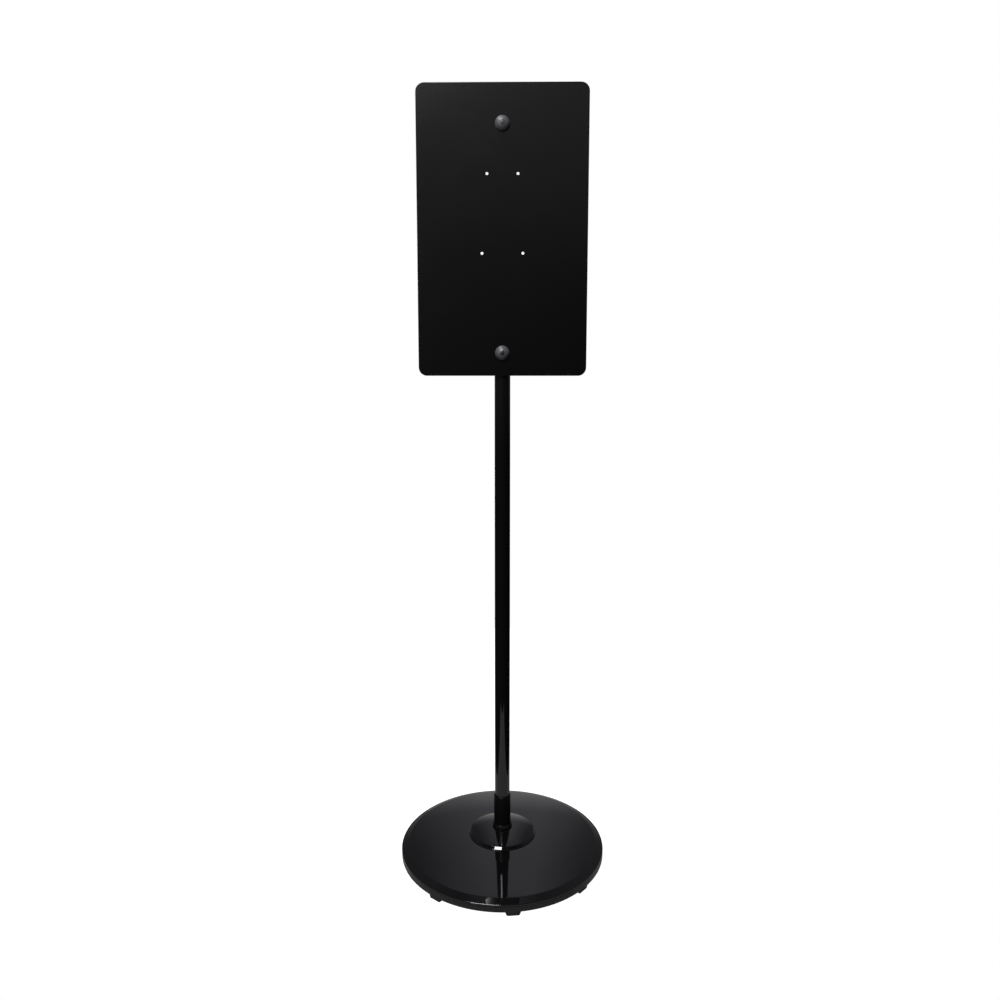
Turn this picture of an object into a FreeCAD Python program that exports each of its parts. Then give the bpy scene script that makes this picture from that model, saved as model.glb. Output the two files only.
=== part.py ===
import FreeCAD, Part
import os
import re
import Sketcher

# A free-standing sign stand, in millimetres. The origin is on the column's axis at floor level.
# +Z is up, the sign plate faces -Y, and +X is to the right of someone reading the sign.

SIZES = [
    # Sign plate
    ("plate_width", 300.0, "plate, side to side"),
    ("plate_height", 500.0, "plate, lower edge to upper edge"),
    ("plate_thickness", 2.0, "plate steel"),
    ("plate_corner_radius", 15.0, "plate corners"),
    ("plate_bottom", 930.0, "floor to the plate's lower edge"),
    ("upper_screw_drop", 68.0, "plate's upper edge down to the upper hand screw"),
    ("lower_screw_rise", 40.5, "plate's lower edge up to the lower hand screw"),
    ("device_hole_radius", 2.5, "the four small mounting holes"),
    ("upper_pair_drop", 151.0, "plate's upper edge down to the upper pair of holes"),
    ("upper_pair_spacing", 54.0, "between the upper pair of holes"),
    ("lower_pair_drop", 286.0, "plate's upper edge down to the lower pair of holes"),
    ("lower_pair_spacing", 72.0, "between the lower pair of holes"),
    # Column
    ("tube_radius", 14.3, "outside of the column tube"),
    ("tube_wall", 1.5, "column tube's wall"),
    ("tube_headroom", 30.0, "upper hand screw up to the tube's end"),
    ("plug_flange", 3.0, "end plug's flange, outside the tube"),
    ("plug_edge", 1.0, "bevel round the end plug's flange"),
    ("plug_spigot", 15.0, "end plug's spigot, inside the tube"),
    ("plug_wall", 2.0, "end plug's spigot wall"),
    ("plug_clearance", 0.1, "spigot to the tube's bore"),
    # Hand screws and what they pass through
    ("screw_radius", 2.5, "hand screw's thread"),
    ("screw_length", 25.0, "hand screw under its head"),
    ("screw_clearance", 0.25, "hand screw to the holes it passes through"),
    ("running_clearance", 0.05, "hand screw to what it turns in"),
    ("head_radius", 4.25, "hand screw's round head"),
    ("head_height", 5.0, "hand screw's round head"),
    ("head_edge", 0.3, "rounding round the top of the head"),
    ("head_recess", 0.3, "head below the knob's rim"),
    ("knob_radius", 13.0, "knob"),
    ("knob_height", 11.0, "plate to the rim round the screw's head"),
    ("knob_skirt", 2.8, "plate to where the knob's dome starts"),
    ("knob_lift", 0.7, "plate to the knob's lower edge"),
    ("dome_radius", 14.2, "knob's dome, in section"),
    ("washer_radius", 9.0, "captive washer"),
    ("washer_thickness", 1.4, "captive washer"),
    ("turning_gap", 0.2, "between faces that turn or slide on each other"),
    ("rivet_body_radius", 3.5, "rivet nut's body"),
    ("rivet_flange_radius", 5.0, "rivet nut's flange"),
    ("rivet_flange", 0.8, "rivet nut's flange thickness"),
    ("rivet_bulge_radius", 4.6, "rivet nut where it swells behind the tube wall"),
    ("rivet_bulge", 2.0, "length of the swelling"),
    ("rivet_length", 13.0, "rivet nut"),
    ("rivet_clearance", 0.1, "swelling to the tube, and flange to the saddle"),
    ("saddle_width", 26.0, "saddle across the tube"),
    ("saddle_height", 34.0, "saddle along the tube"),
    ("saddle_crest", 3.0, "saddle between the tube's front and the plate"),
    ("saddle_wrap", 7.0, "how far the saddle reaches back round the tube"),
    ("saddle_corner_radius", 3.0, "saddle corners"),
    # Socket on the base
    ("sleeve_wall", 1.6, "socket sleeve"),
    ("sleeve_reach", 78.0, "socket flange up to the sleeve's mouth"),
    ("sleeve_chamfer", 0.6, "round the sleeve's mouth"),
    ("swivel_clearance", 0.1, "column to the sleeve's bore"),
    ("swivel_gap", 0.3, "column's foot to the floor of its socket"),
    ("flange_radius", 56.0, "socket flange"),
    ("flange_thickness", 4.0, "socket flange"),
    ("weld_leg", 3.0, "fillet weld between sleeve and flange"),
    ("bolt_inset", 16.0, "flange's edge to the flange screws"),
    ("bolt_count", 4, "flange screws"),
    ("bolt_radius", 3.0, "flange screw's thread"),
    ("bolt_length", 26.0, "flange screw under its head"),
    ("bolt_head_radius", 5.0, "flange screw's head"),
    ("bolt_head_height", 3.3, "flange screw's head"),
    ("bolt_key_flats", 4.0, "hexagon socket in a flange screw, across flats"),
    ("bolt_key_depth", 2.0, "hexagon socket in a flange screw"),
    ("bolt_clearance", 0.3, "flange screw to the holes it passes through"),
    ("bolt_washer_radius", 6.0, "flange washer"),
    ("bolt_washer", 1.2, "flange washer's thickness"),
    ("lock_drop", 23.0, "sleeve's mouth down to the lock screw"),
    ("lock_radius", 3.0, "lock screw's thread"),
    ("lock_recess", 0.5, "lock screw's end inside its boss"),
    ("lock_key_flats", 3.0, "hexagon socket in the lock screw, across flats"),
    ("lock_key_depth", 2.5, "hexagon socket in the lock screw"),
    ("lock_boss_radius", 6.0, "threaded boss on the sleeve"),
    ("lock_boss_height", 6.0, "threaded boss outside the sleeve"),
    # Hub cover and its ring
    ("cover_overlap", 7.5, "hub cover beyond the flange's recess"),
    ("cover_side", 1.2, "hub cover's upright edge"),
    ("cover_bevel", 4.0, "bevel round the hub cover"),
    ("cover_rise", 8.0, "hub cover's bevel up to its neck"),
    ("cover_wall", 2.2, "hub cover"),
    ("cover_edge_radius", 1.2, "rounding of the hub cover's edges"),
    ("cover_land", 1.0, "flat on the base shell round the hub cover"),
    ("ring_wall", 2.9, "neck ring's wall at its foot"),
    ("ring_height", 8.0, "neck ring"),
    ("ring_band", 3.5, "neck ring's upright band"),
    ("ring_top_wall", 0.9, "neck ring's wall at its top"),
    ("sleeve_gap", 0.1, "sleeve to the cover, ring and shell round it"),
    # Base shell
    ("rim_radius", 195.5, "base shell at its lower edge"),
    ("rim_edge", 2.6, "base shell's upright edge"),
    ("rim_rounding", 2.0, "rounding above the upright edge"),
    ("shoulder_inset", 13.5, "rim in to the shoulder"),
    ("shoulder_rise", 8.3, "base shell's lower edge up to the shoulder"),
    ("shoulder_rounding", 3.0, "rounding of the shoulder"),
    ("crown_rise", 14.5, "shoulder up to the hub cover's seat"),
    ("shell_wall", 2.6, "base shell"),
    ("recess_clearance", 1.5, "socket flange to the recess it lies in"),
    # Bottom pan and its screws
    ("pan_inset", 0.1, "rim in to the pan at the seam"),
    ("pan_height", 9.8, "bottom pan's side"),
    ("seam_gap", 0.9, "seam between pan and shell"),
    ("pan_draft", 0.1, "how much the pan narrows towards the floor"),
    ("pan_floor", 2.5, "bottom pan's floor"),
    ("pan_wall", 2.5, "bottom pan's side"),
    ("rib_width", 2.4, "ribs under the pan"),
    ("rib_depth", 4.0, "ribs under the pan"),
    ("rib_ring_radius", 44.0, "inner ring of ribs"),
    ("boss_inset", 27.5, "rim in to the pan screws"),
    ("boss_radius", 4.4, "screw bosses inside the shell"),
    ("pan_screw_radius", 2.0, "pan screw's thread"),
    ("pan_screw_length", 13.0, "pan screw under its head"),
    ("pan_screw_clearance", 0.2, "pan screw to its hole in the pan"),
    ("pan_head_radius", 4.0, "pan screw's head"),
    ("pan_head_height", 2.4, "pan screw's head"),
    ("pan_slot_width", 1.0, "cross recess in a pan screw"),
    ("pan_slot_length", 4.4, "cross recess in a pan screw"),
    ("pan_slot_depth", 1.4, "cross recess in a pan screw"),
    # Feet
    ("foot_count", 8, "feet, evenly spaced"),
    ("first_foot_angle", 6.3, "front foot, degrees round from the plate's normal"),
    ("foot_height", 10.5, "floor to the pan"),
    ("foot_floor_width", 22.0, "foot at the floor"),
    ("foot_top_width", 31.0, "foot at the pan"),
    ("foot_inset", 4.4, "pan's side at the seam in to a foot's outer face"),
    ("foot_depth", 15.0, "foot, outer face to inner face"),
    ("foot_edge", 1.5, "rounding of a foot's lower edges"),
    ("peg_radius", 4.0, "foot's peg"),
    ("peg_height", 4.0, "foot's peg above the pan's lower face"),
    # Ballast
    ("ballast_gap", 9.0, "screw bosses in to the ballast"),
    ("ballast_thickness", 8.0, "ballast plate"),
    ("ballast_web", 4.0, "ballast below the column's socket"),
    ("ballast_bore_gap", 0.3, "sleeve to the ballast's bore"),
]

# Places that follow from the sizes above. Each is a formula, written out in full where it is used.
DERIVED = {
    "plate_top": "plate_bottom + plate_height",
    "upper_screw": "plate_top - upper_screw_drop",
    "lower_screw": "plate_bottom + lower_screw_rise",
    "plate_back": "tube_radius + saddle_crest",
    "plate_front": "plate_back + plate_thickness",
    "tube_bore": "tube_radius - tube_wall",
    "tube_top": "upper_screw + tube_headroom",
    "tube_bottom": "socket_floor + swivel_gap + plug_flange",
    "sleeve_bore": "tube_radius + swivel_clearance",
    "sleeve_radius": "sleeve_bore + sleeve_wall",
    "sleeve_hole": "sleeve_radius + sleeve_gap",
    "sleeve_top": "crown_height + sleeve_reach",
    "ring_radius": "sleeve_hole + ring_wall",
    "lock_height": "sleeve_top - lock_drop",
    "lock_face": "sleeve_radius + lock_boss_height",
    "pan_radius": "rim_radius - pan_inset",
    "pan_top": "foot_height + pan_floor",
    "seam_height": "foot_height + pan_height",
    "boss_circle": "rim_radius - boss_inset",
    "foot_outer_radius": "pan_radius - foot_inset",
    "foot_middle": "foot_outer_radius - foot_depth / 2",
    "half_step": "180 / foot_count",
    "ballast_radius": "boss_circle - boss_radius - ballast_gap",
    "socket_floor": "pan_top + ballast_web",
    "hub_top": "land_height - shell_wall",
    "shell_bottom": "seam_height + seam_gap",
    "shoulder_radius": "rim_radius - shoulder_inset",
    "shoulder_height": "shell_bottom + shoulder_rise",
    "crown_height": "shoulder_height + crown_rise",
    "crown_centre": "(cover_seat ^ 2 - shoulder_radius ^ 2 + crown_height ^ 2"
                    " - shoulder_height ^ 2) / (2 * crown_rise)",
    "crown_radius": "sqrt(cover_seat ^ 2 + (crown_height - crown_centre) ^ 2)",
    "land_height": "crown_height - flange_thickness",
    "land_radius": "flange_radius + recess_clearance",
    "bolt_circle": "flange_radius - bolt_inset",
    "cover_radius": "land_radius + cover_overlap",
    "cover_seat": "cover_radius + cover_land",
    "bevel_radius": "cover_radius - cover_bevel",
    "bevel_top": "crown_height + cover_side + cover_bevel",
    "cover_top": "bevel_top + cover_rise",
    "cover_centre": "(ring_radius ^ 2 - bevel_radius ^ 2 + cover_top ^ 2 - bevel_top ^ 2)"
                    " / (2 * cover_rise)",
    "cover_crown_radius": "sqrt(ring_radius ^ 2 + (cover_top - cover_centre) ^ 2)",
    "cover_mitre": "cover_wall * (sqrt(2) - 1)",
    "knob_under": "plate_front + turning_gap + washer_thickness + turning_gap",
    "knob_top": "plate_front + knob_height",
    "head_top": "knob_top - head_recess",
    "head_under": "head_top - head_height",
    "rivet_front": "tube_radius + rivet_flange",
    "rivet_end": "rivet_front - rivet_length",
    "bulge_front": "sqrt(tube_bore ^ 2 - rivet_bulge_radius ^ 2) - rivet_clearance",
    "bulge_slope": "rivet_bulge_radius - rivet_body_radius",
}

DOCUMENT = FreeCAD.newDocument("SignStand")
CELLS = {name for name, _, _ in SIZES}
OUTWARD_FROM_PLATE = FreeCAD.Rotation(FreeCAD.Vector(1, 0, 0), 90)
TO_THE_BACK = FreeCAD.Rotation(FreeCAD.Vector(1, 0, 0), -90)
UPSIDE_DOWN = FreeCAD.Rotation(FreeCAD.Vector(1, 0, 0), 180)


def fill_sheet():
    """Put the sizes in the document's spreadsheet, one named cell each."""
    sheet = DOCUMENT.addObject("Spreadsheet::Sheet", "Sizes")
    for row, (name, size, meaning) in enumerate(SIZES, start=1):
        sheet.set(f"A{row}", name)
        sheet.set(f"B{row}", str(size))
        sheet.set(f"C{row}", meaning)
        sheet.setAlias(f"B{row}", name)
    DOCUMENT.recompute()
    return sheet


def formula(text):
    """Return text as an expression on the sheet's cells, with derived names written out."""
    def write_out(match):
        name = match.group()
        if name in DERIVED:
            return f"({formula(DERIVED[name])})"
        if name in CELLS:
            return f"Sizes.{name}"
        return name
    return re.sub(r"[a-z_]+", write_out, text)


def amount(text):
    """Return the present value of a formula."""
    return float(SHEET.evalExpression(formula(text)))


def add_body(label):
    """Start a sub-part."""
    body = DOCUMENT.addObject("PartDesign::Body", label)
    body.Label = label
    return body


def turn_with_feet(body, further="0"):
    """Turn a body about the column's axis to the front foot's angle, and further if asked."""
    body.setExpression("Placement.Rotation.Angle", formula(f"first_foot_angle + {further}"))


def face_outward(body, rotation, height):
    """Lay a body's own Z along a line through the column's axis at a height."""
    body.Placement = FreeCAD.Placement(FreeCAD.Vector(0, 0, 0), rotation)
    body.setExpression("Placement.Base.z", formula(height))


def origin_feature(body, role):
    """Return one of a body's own origin planes or axes."""
    return next(item for item in body.Origin.OriginFeatures if item.Role == role)


def add_sketch(body, role, offset="0"):
    """Start a sketch on an origin plane, moved along the plane's normal by offset."""
    sketch = body.newObject("Sketcher::SketchObject", f"{body.Name}_sketch")
    sketch.AttachmentSupport = [(origin_feature(body, role), "")]
    sketch.MapMode = "FlatFace"
    sketch.setExpression("AttachmentOffset.Base.z", formula(offset))
    return sketch


def fix_point(sketch, geometry, vertex, across, along):
    """Hold a sketch point at its distances from the sketch's origin."""
    for kind, text in (("DistanceX", across), ("DistanceY", along)):
        index = sketch.addConstraint(
            Sketcher.Constraint(kind, -1, 1, geometry, vertex, amount(text)))
        sketch.setExpression(f"Constraints[{index}]", formula(text))


def fix_radius(sketch, geometry, radius):
    """Hold the radius of a circle or an arc."""
    index = sketch.addConstraint(Sketcher.Constraint("Radius", geometry, amount(radius)))
    sketch.setExpression(f"Constraints[{index}]", formula(radius))


def draw_circle(sketch, across, along, radius):
    """Draw a circle about a point."""
    centre = FreeCAD.Vector(amount(across), amount(along), 0)
    circle = Part.Circle(centre, FreeCAD.Vector(0, 0, 1), amount(radius))
    geometry = sketch.addGeometry(circle, False)
    fix_point(sketch, geometry, 3, across, along)
    fix_radius(sketch, geometry, radius)


def left_arc(start, end, radius):
    """Return the short arc from start to end that bends to the left."""
    chord = end - start
    side = FreeCAD.Vector(-chord.y, chord.x, 0).normalize()
    centre = (start + end) / 2 + side * (radius ** 2 - (chord.Length / 2) ** 2) ** 0.5
    circle = Part.Circle(centre, FreeCAD.Vector(0, 0, 1), radius)
    return Part.ArcOfCircle(circle, circle.parameter(start), circle.parameter(end))


def draw_outline(sketch, corners):
    """Draw a closed outline. A corner is (across, along), and a straight edge leads from it to the
    next one. A third entry is the radius of an arc that leads on instead, bending left."""
    points = [FreeCAD.Vector(amount(corner[0]), amount(corner[1]), 0) for corner in corners]
    for index, corner in enumerate(corners):
        start = points[index]
        end = points[(index + 1) % len(points)]
        if len(corner) == 2:
            edge = Part.LineSegment(start, end)
        else:
            edge = left_arc(start, end, amount(corner[2]))
        sketch.addGeometry(edge, False)
    for index, corner in enumerate(corners):
        following = (index + 1) % len(corners)
        sketch.addConstraint(Sketcher.Constraint("Coincident", index, 2, following, 1))
        fix_point(sketch, index, 1, corner[0], corner[1])
        if len(corner) == 3:
            fix_radius(sketch, index, corner[2])


def draw_rectangle(sketch, left, low, right, high):
    """Draw a rectangle between two corners."""
    draw_outline(sketch, [(left, low), (right, low), (right, high), (left, high)])


def draw_hexagon(sketch, across, flats):
    """Draw a hexagon about a point on the sketch's horizontal axis, by its width across flats."""
    corners = []
    for angle in range(0, 360, 60):
        reach = f"({flats}) / sqrt(3)"
        corners.append((f"{across} + {reach} * cos({angle})", f"{reach} * sin({angle})"))
    draw_outline(sketch, corners)


def revolve(body, corners, kind="Revolution"):
    """Turn an outline, drawn as (radius, height) corners, about the body's Z axis. It adds to the
    body, or cuts from it where kind is Groove."""
    sketch = add_sketch(body, "XZ_Plane")
    draw_outline(sketch, corners)
    turned = body.newObject(f"PartDesign::{kind}", f"{body.Name}_{kind}")
    turned.Profile = sketch
    turned.ReferenceAxis = (sketch, ["V_Axis"])
    turned.Angle = 360
    DOCUMENT.recompute()
    return turned


def pad(body, sketch, length, reverse=False):
    """Raise a sketch along its plane's normal, or against it."""
    raised = body.newObject("PartDesign::Pad", f"{body.Name}_pad")
    raised.Profile = sketch
    raised.setExpression("Length", formula(length))
    raised.Reversed = reverse
    DOCUMENT.recompute()
    return raised


def pocket(body, sketch, reverse=False, length=None, both_ways=False):
    """Cut a sketch out against its plane's normal, or along it, through everything or to a length."""
    volume = body.Shape.Volume
    cut = body.newObject("PartDesign::Pocket", f"{body.Name}_pocket")
    cut.Profile = sketch
    cut.Reversed = reverse
    if both_ways:
        cut.SideType = "Symmetric"
    if length is None:
        cut.Type = "ThroughAll"
    else:
        cut.setExpression("Length", formula(length))
    DOCUMENT.recompute()
    if body.Shape.Volume >= volume:
        raise RuntimeError(f"{cut.Name} cuts nothing")
    return cut


def repeat_round(body, features, count):
    """Repeat features evenly about the body's Z axis."""
    pattern = body.newObject("PartDesign::PolarPattern", f"{body.Name}_pattern")
    pattern.Originals = features
    pattern.Axis = (origin_feature(body, "Z_Axis"), [""])
    pattern.Angle = 360
    pattern.setExpression("Occurrences", formula(count))
    body.Tip = pattern
    DOCUMENT.recompute()
    return pattern


def pad_disc(body, across, radius, low, high):
    """Add a disc between two heights, centred on the body's X axis."""
    sketch = add_sketch(body, "XY_Plane", low)
    draw_circle(sketch, across, "0", radius)
    return pad(body, sketch, f"({high}) - ({low})")


def drill(body, across, radius, height, depth=None):
    """Drill down from a height, centred on the body's X axis, through everything or to a depth."""
    sketch = add_sketch(body, "XY_Plane", height)
    draw_circle(sketch, across, "0", radius)
    return pocket(body, sketch, length=depth)


def cut_key_socket(body, across, flats, height, depth):
    """Cut a hexagon socket down from a height, centred on the body's X axis."""
    sketch = add_sketch(body, "XY_Plane", height)
    draw_hexagon(sketch, across, flats)
    return pocket(body, sketch, length=depth)


def circle_edges(shape, radius, height):
    """Return the names of the circles about the Z axis with this radius at this height."""
    wanted = (amount(radius), amount(height))
    names = []
    for index, edge in enumerate(shape.Edges, start=1):
        if edge.Curve.TypeId == "Part::GeomCircle":
            found = (edge.Curve.Radius, edge.Curve.Center.z)
            if max(abs(found[0] - wanted[0]), abs(found[1] - wanted[1])) < 1e-4:
                names.append(f"Edge{index}")
    return names


def upright_edges(shape):
    """Return the names of the straight edges that are parallel to the Z axis."""
    names = []
    for index, edge in enumerate(shape.Edges, start=1):
        if edge.Curve.TypeId != "Part::GeomLine":
            continue
        if abs(edge.Curve.Direction.z) > 0.999:
            names.append(f"Edge{index}")
    return names


def dress(body, kind, base, edges, size_name, size):
    """Round or bevel named edges of a feature. kind is Fillet or Chamfer."""
    dressed = body.newObject(f"PartDesign::{kind}", f"{body.Name}_{kind.lower()}")
    dressed.Base = (base, edges)
    dressed.setExpression(size_name, formula(size))
    DOCUMENT.recompute()
    return dressed


def round_edges(body, base, edges, radius):
    """Round named edges of a feature."""
    return dress(body, "Fillet", base, edges, "Radius", radius)


def hollow_from_below(body, base, wall):
    """Hollow a feature out to a wall, open at its lowest face."""
    lowest = min(range(len(base.Shape.Faces)), key=lambda i: base.Shape.Faces[i].CenterOfMass.z)
    shell = body.newObject("PartDesign::Thickness", f"{body.Name}_thickness")
    shell.Base = (base, [f"Face{lowest + 1}"])
    shell.setExpression("Value", formula(wall))
    shell.Reversed = True
    shell.Join = "Intersection"
    DOCUMENT.recompute()
    return shell


def make_sign_plate():
    """Flat plate with rounded corners, holes for the hand screws and two pairs of small holes."""
    body = add_body("sign_plate")
    outline = add_sketch(body, "XZ_Plane", "plate_back")
    draw_rectangle(outline, "-plate_width / 2", "plate_bottom", "plate_width / 2", "plate_top")
    flat = pad(body, outline, "plate_thickness")
    across = [f"Edge{index}" for index, edge in enumerate(flat.Shape.Edges, start=1)
              if abs(edge.Curve.Direction.y) > 0.999]
    round_edges(body, flat, across, "plate_corner_radius")
    holes = add_sketch(body, "XZ_Plane")
    for height in ("upper_screw", "lower_screw"):
        draw_circle(holes, "0", height, "screw_radius + screw_clearance")
    for pair in ("upper_pair", "lower_pair"):
        for side in ("-", ""):
            draw_circle(holes, f"{side}{pair}_spacing / 2", f"plate_top - {pair}_drop",
                        "device_hole_radius")
    pocket(body, holes, reverse=True)


def make_column_tube():
    """Straight round tube with two holes in its front wall for the rivet nuts."""
    body = add_body("column_tube")
    revolve(body, [("tube_bore", "tube_bottom"), ("tube_radius", "tube_bottom"),
                   ("tube_radius", "tube_top"), ("tube_bore", "tube_top")])
    holes = add_sketch(body, "XZ_Plane")
    for height in ("upper_screw", "lower_screw"):
        draw_circle(holes, "0", height, "rivet_body_radius")
    pocket(body, holes, reverse=True)


def make_end_plug(label, height, rotation):
    """Moulded plug for an end of the tube: a bevelled flange outside and a hollow spigot inside."""
    body = add_body(label)
    spigot = "tube_bore - plug_clearance"
    revolve(body, [
        (f"{spigot} - plug_wall", "-plug_spigot"), (spigot, "-plug_spigot"), (spigot, "0"),
        ("tube_radius", "0"), ("tube_radius", "plug_flange - plug_edge"),
        ("tube_radius - plug_edge", "plug_flange"), ("0", "plug_flange"), ("0", "0"),
        (f"{spigot} - plug_wall", "0")])
    face_outward(body, rotation, height)


def make_saddle(label, height):
    """Block that is flat to the plate and hollow to the tube, with room for the rivet's flange."""
    body = add_body(label)
    outline = add_sketch(body, "XY_Plane", "tube_radius - saddle_wrap")
    draw_rectangle(outline, "-saddle_width / 2", "-saddle_height / 2",
                   "saddle_width / 2", "saddle_height / 2")
    block = pad(body, outline, "saddle_wrap + saddle_crest")
    round_edges(body, block, upright_edges(block.Shape), "saddle_corner_radius")
    tube = add_sketch(body, "XZ_Plane")
    draw_circle(tube, "0", "0", "tube_radius")
    pocket(body, tube, both_ways=True)
    drill(body, "0", "rivet_flange_radius + rivet_clearance", "rivet_front + rivet_clearance")
    drill(body, "0", "screw_radius + screw_clearance", "plate_back")
    face_outward(body, OUTWARD_FROM_PLATE, height)


def make_rivet_nut(label, height):
    """Rivet nut: a flange outside the tube wall and a swelling inside it."""
    body = add_body(label)
    bore = "screw_radius + running_clearance"
    revolve(body, [
        (bore, "rivet_end"), ("rivet_body_radius", "rivet_end"),
        ("rivet_body_radius", "bulge_front - rivet_bulge - bulge_slope * 2"),
        ("rivet_bulge_radius", "bulge_front - rivet_bulge - bulge_slope"),
        ("rivet_bulge_radius", "bulge_front - bulge_slope"),
        ("rivet_body_radius", "bulge_front"), ("rivet_body_radius", "tube_radius"),
        ("rivet_flange_radius", "tube_radius"), ("rivet_flange_radius", "rivet_front"),
        (bore, "rivet_front")])
    face_outward(body, OUTWARD_FROM_PLATE, height)


def make_knob(label, height):
    """Domed knob, pressed over the screw's head, with a recess for the washer behind it."""
    body = add_body(label)
    recess = "washer_radius + turning_gap"
    revolve(body, [
        ("screw_radius", "knob_under"), (recess, "knob_under"),
        (recess, "plate_front + knob_lift"), ("knob_radius", "plate_front + knob_lift"),
        ("knob_radius", "plate_front + knob_skirt", "dome_radius"),
        ("head_radius", "knob_top"), ("head_radius", "head_under"),
        ("screw_radius", "head_under")])
    face_outward(body, OUTWARD_FROM_PLATE, height)


def make_knob_screw(label, height):
    """Screw with a plain round head, and its thread drawn as a plain shank."""
    body = add_body(label)
    pad_disc(body, "0", "screw_radius", "head_under - screw_length", "head_under")
    head = pad_disc(body, "0", "head_radius", "head_under", "head_top")
    rim = circle_edges(head.Shape, "head_radius", "head_top")
    round_edges(body, head, rim, "head_edge")
    face_outward(body, OUTWARD_FROM_PLATE, height)


def make_knob_washer(label, height):
    """Captive washer between the knob and the plate."""
    body = add_body(label)
    low = "plate_front + turning_gap"
    pad_disc(body, "0", "washer_radius", low, f"{low} + washer_thickness")
    drill(body, "0", "screw_radius + running_clearance", f"{low} + washer_thickness")
    face_outward(body, OUTWARD_FROM_PLATE, height)


def make_socket_sleeve():
    """Tube that the column stands in, bevelled at its mouth, with a hole for the lock screw."""
    body = add_body("socket_sleeve")
    revolve(body, [
        ("sleeve_bore", "socket_floor"), ("sleeve_radius", "socket_floor"),
        ("sleeve_radius", "sleeve_top - sleeve_chamfer"),
        ("sleeve_radius - sleeve_chamfer", "sleeve_top"), ("sleeve_bore", "sleeve_top")])
    hole = add_sketch(body, "XZ_Plane")
    draw_circle(hole, "0", "lock_height", "lock_radius")
    pocket(body, hole)


def make_socket_flange():
    """Round plate, welded to the sleeve and screwed down to the ballast through the shell."""
    body = add_body("socket_flange")
    pad_disc(body, "0", "flange_radius", "land_height", "crown_height")
    drill(body, "0", "sleeve_radius", "crown_height")
    hole = drill(body, "bolt_circle", "bolt_radius + bolt_clearance", "crown_height")
    repeat_round(body, [hole], "bolt_count")
    turn_with_feet(body, "half_step")


def make_socket_weld():
    """Fillet weld round the foot of the sleeve."""
    body = add_body("socket_weld")
    revolve(body, [("sleeve_radius", "crown_height"), ("sleeve_radius + weld_leg", "crown_height"),
                   ("sleeve_radius", "crown_height + weld_leg")])


def make_flange_screws():
    """The screws that hold the socket, shell and ballast together."""
    body = add_body("flange_screws")
    under = "crown_height + bolt_washer"
    shank = pad_disc(body, "bolt_circle", "bolt_radius", f"{under} - bolt_length", under)
    head = pad_disc(body, "bolt_circle", "bolt_head_radius", under, f"{under} + bolt_head_height")
    key = cut_key_socket(body, "bolt_circle", "bolt_key_flats", f"{under} + bolt_head_height",
                         "bolt_key_depth")
    repeat_round(body, [shank, head, key], "bolt_count")
    turn_with_feet(body, "half_step")


def make_flange_washers():
    """The washers under the flange screws."""
    body = add_body("flange_washers")
    top = "crown_height + bolt_washer"
    disc = pad_disc(body, "bolt_circle", "bolt_washer_radius", "crown_height", top)
    hole = drill(body, "bolt_circle", "bolt_radius + bolt_clearance", top)
    repeat_round(body, [disc, hole], "bolt_count")
    turn_with_feet(body, "half_step")


def make_lock_boss():
    """Threaded boss at the back of the sleeve, shaped to it."""
    body = add_body("lock_boss")
    pad_disc(body, "0", "lock_boss_radius", "sleeve_bore", "lock_face")
    sleeve = add_sketch(body, "XZ_Plane")
    draw_circle(sleeve, "0", "0", "sleeve_radius")
    pocket(body, sleeve, both_ways=True)
    drill(body, "0", "lock_radius", "lock_face")
    face_outward(body, TO_THE_BACK, "lock_height")


def make_lock_screw():
    """Set screw that bears on the column, drawn slackened so that the column turns."""
    body = add_body("lock_screw")
    end = "lock_face - lock_recess"
    pad_disc(body, "0", "lock_radius", "tube_radius + swivel_gap", end)
    cut_key_socket(body, "0", "lock_key_flats", end, "lock_key_depth")
    face_outward(body, TO_THE_BACK, "lock_height")


def make_hub_cover():
    """Raised cover over the socket's flange, bevelled at its edge, with a hole for the sleeve."""
    body = add_body("hub_cover")
    raised = revolve(body, [
        ("0", "crown_height"), ("cover_radius", "crown_height"),
        ("cover_radius", "crown_height + cover_side"),
        ("bevel_radius", "bevel_top", "cover_crown_radius"),
        ("ring_radius", "cover_top"), ("0", "cover_top")])
    edges = circle_edges(raised.Shape, "cover_radius", "crown_height + cover_side")
    edges += circle_edges(raised.Shape, "bevel_radius", "bevel_top")
    round_edges(body, raised, edges, "cover_edge_radius")
    revolve(body, [
        ("0", "crown_height"), ("cover_radius - cover_wall", "crown_height"),
        ("cover_radius - cover_wall", "crown_height + cover_side - cover_mitre"),
        ("bevel_radius - cover_mitre", "bevel_top - cover_wall", "cover_crown_radius"),
        ("ring_radius", "cover_top - cover_wall"), ("0", "cover_top - cover_wall")], "Groove")
    drill(body, "0", "sleeve_hole", "cover_top")


def make_neck_ring():
    """Trim ring between the hub cover and the sleeve, bevelled at its top."""
    body = add_body("neck_ring")
    revolve(body, [
        ("sleeve_hole", "cover_top"), ("ring_radius", "cover_top"),
        ("ring_radius", "cover_top + ring_band"),
        ("sleeve_hole + ring_top_wall", "cover_top + ring_height"),
        ("sleeve_hole", "cover_top + ring_height")])


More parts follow.
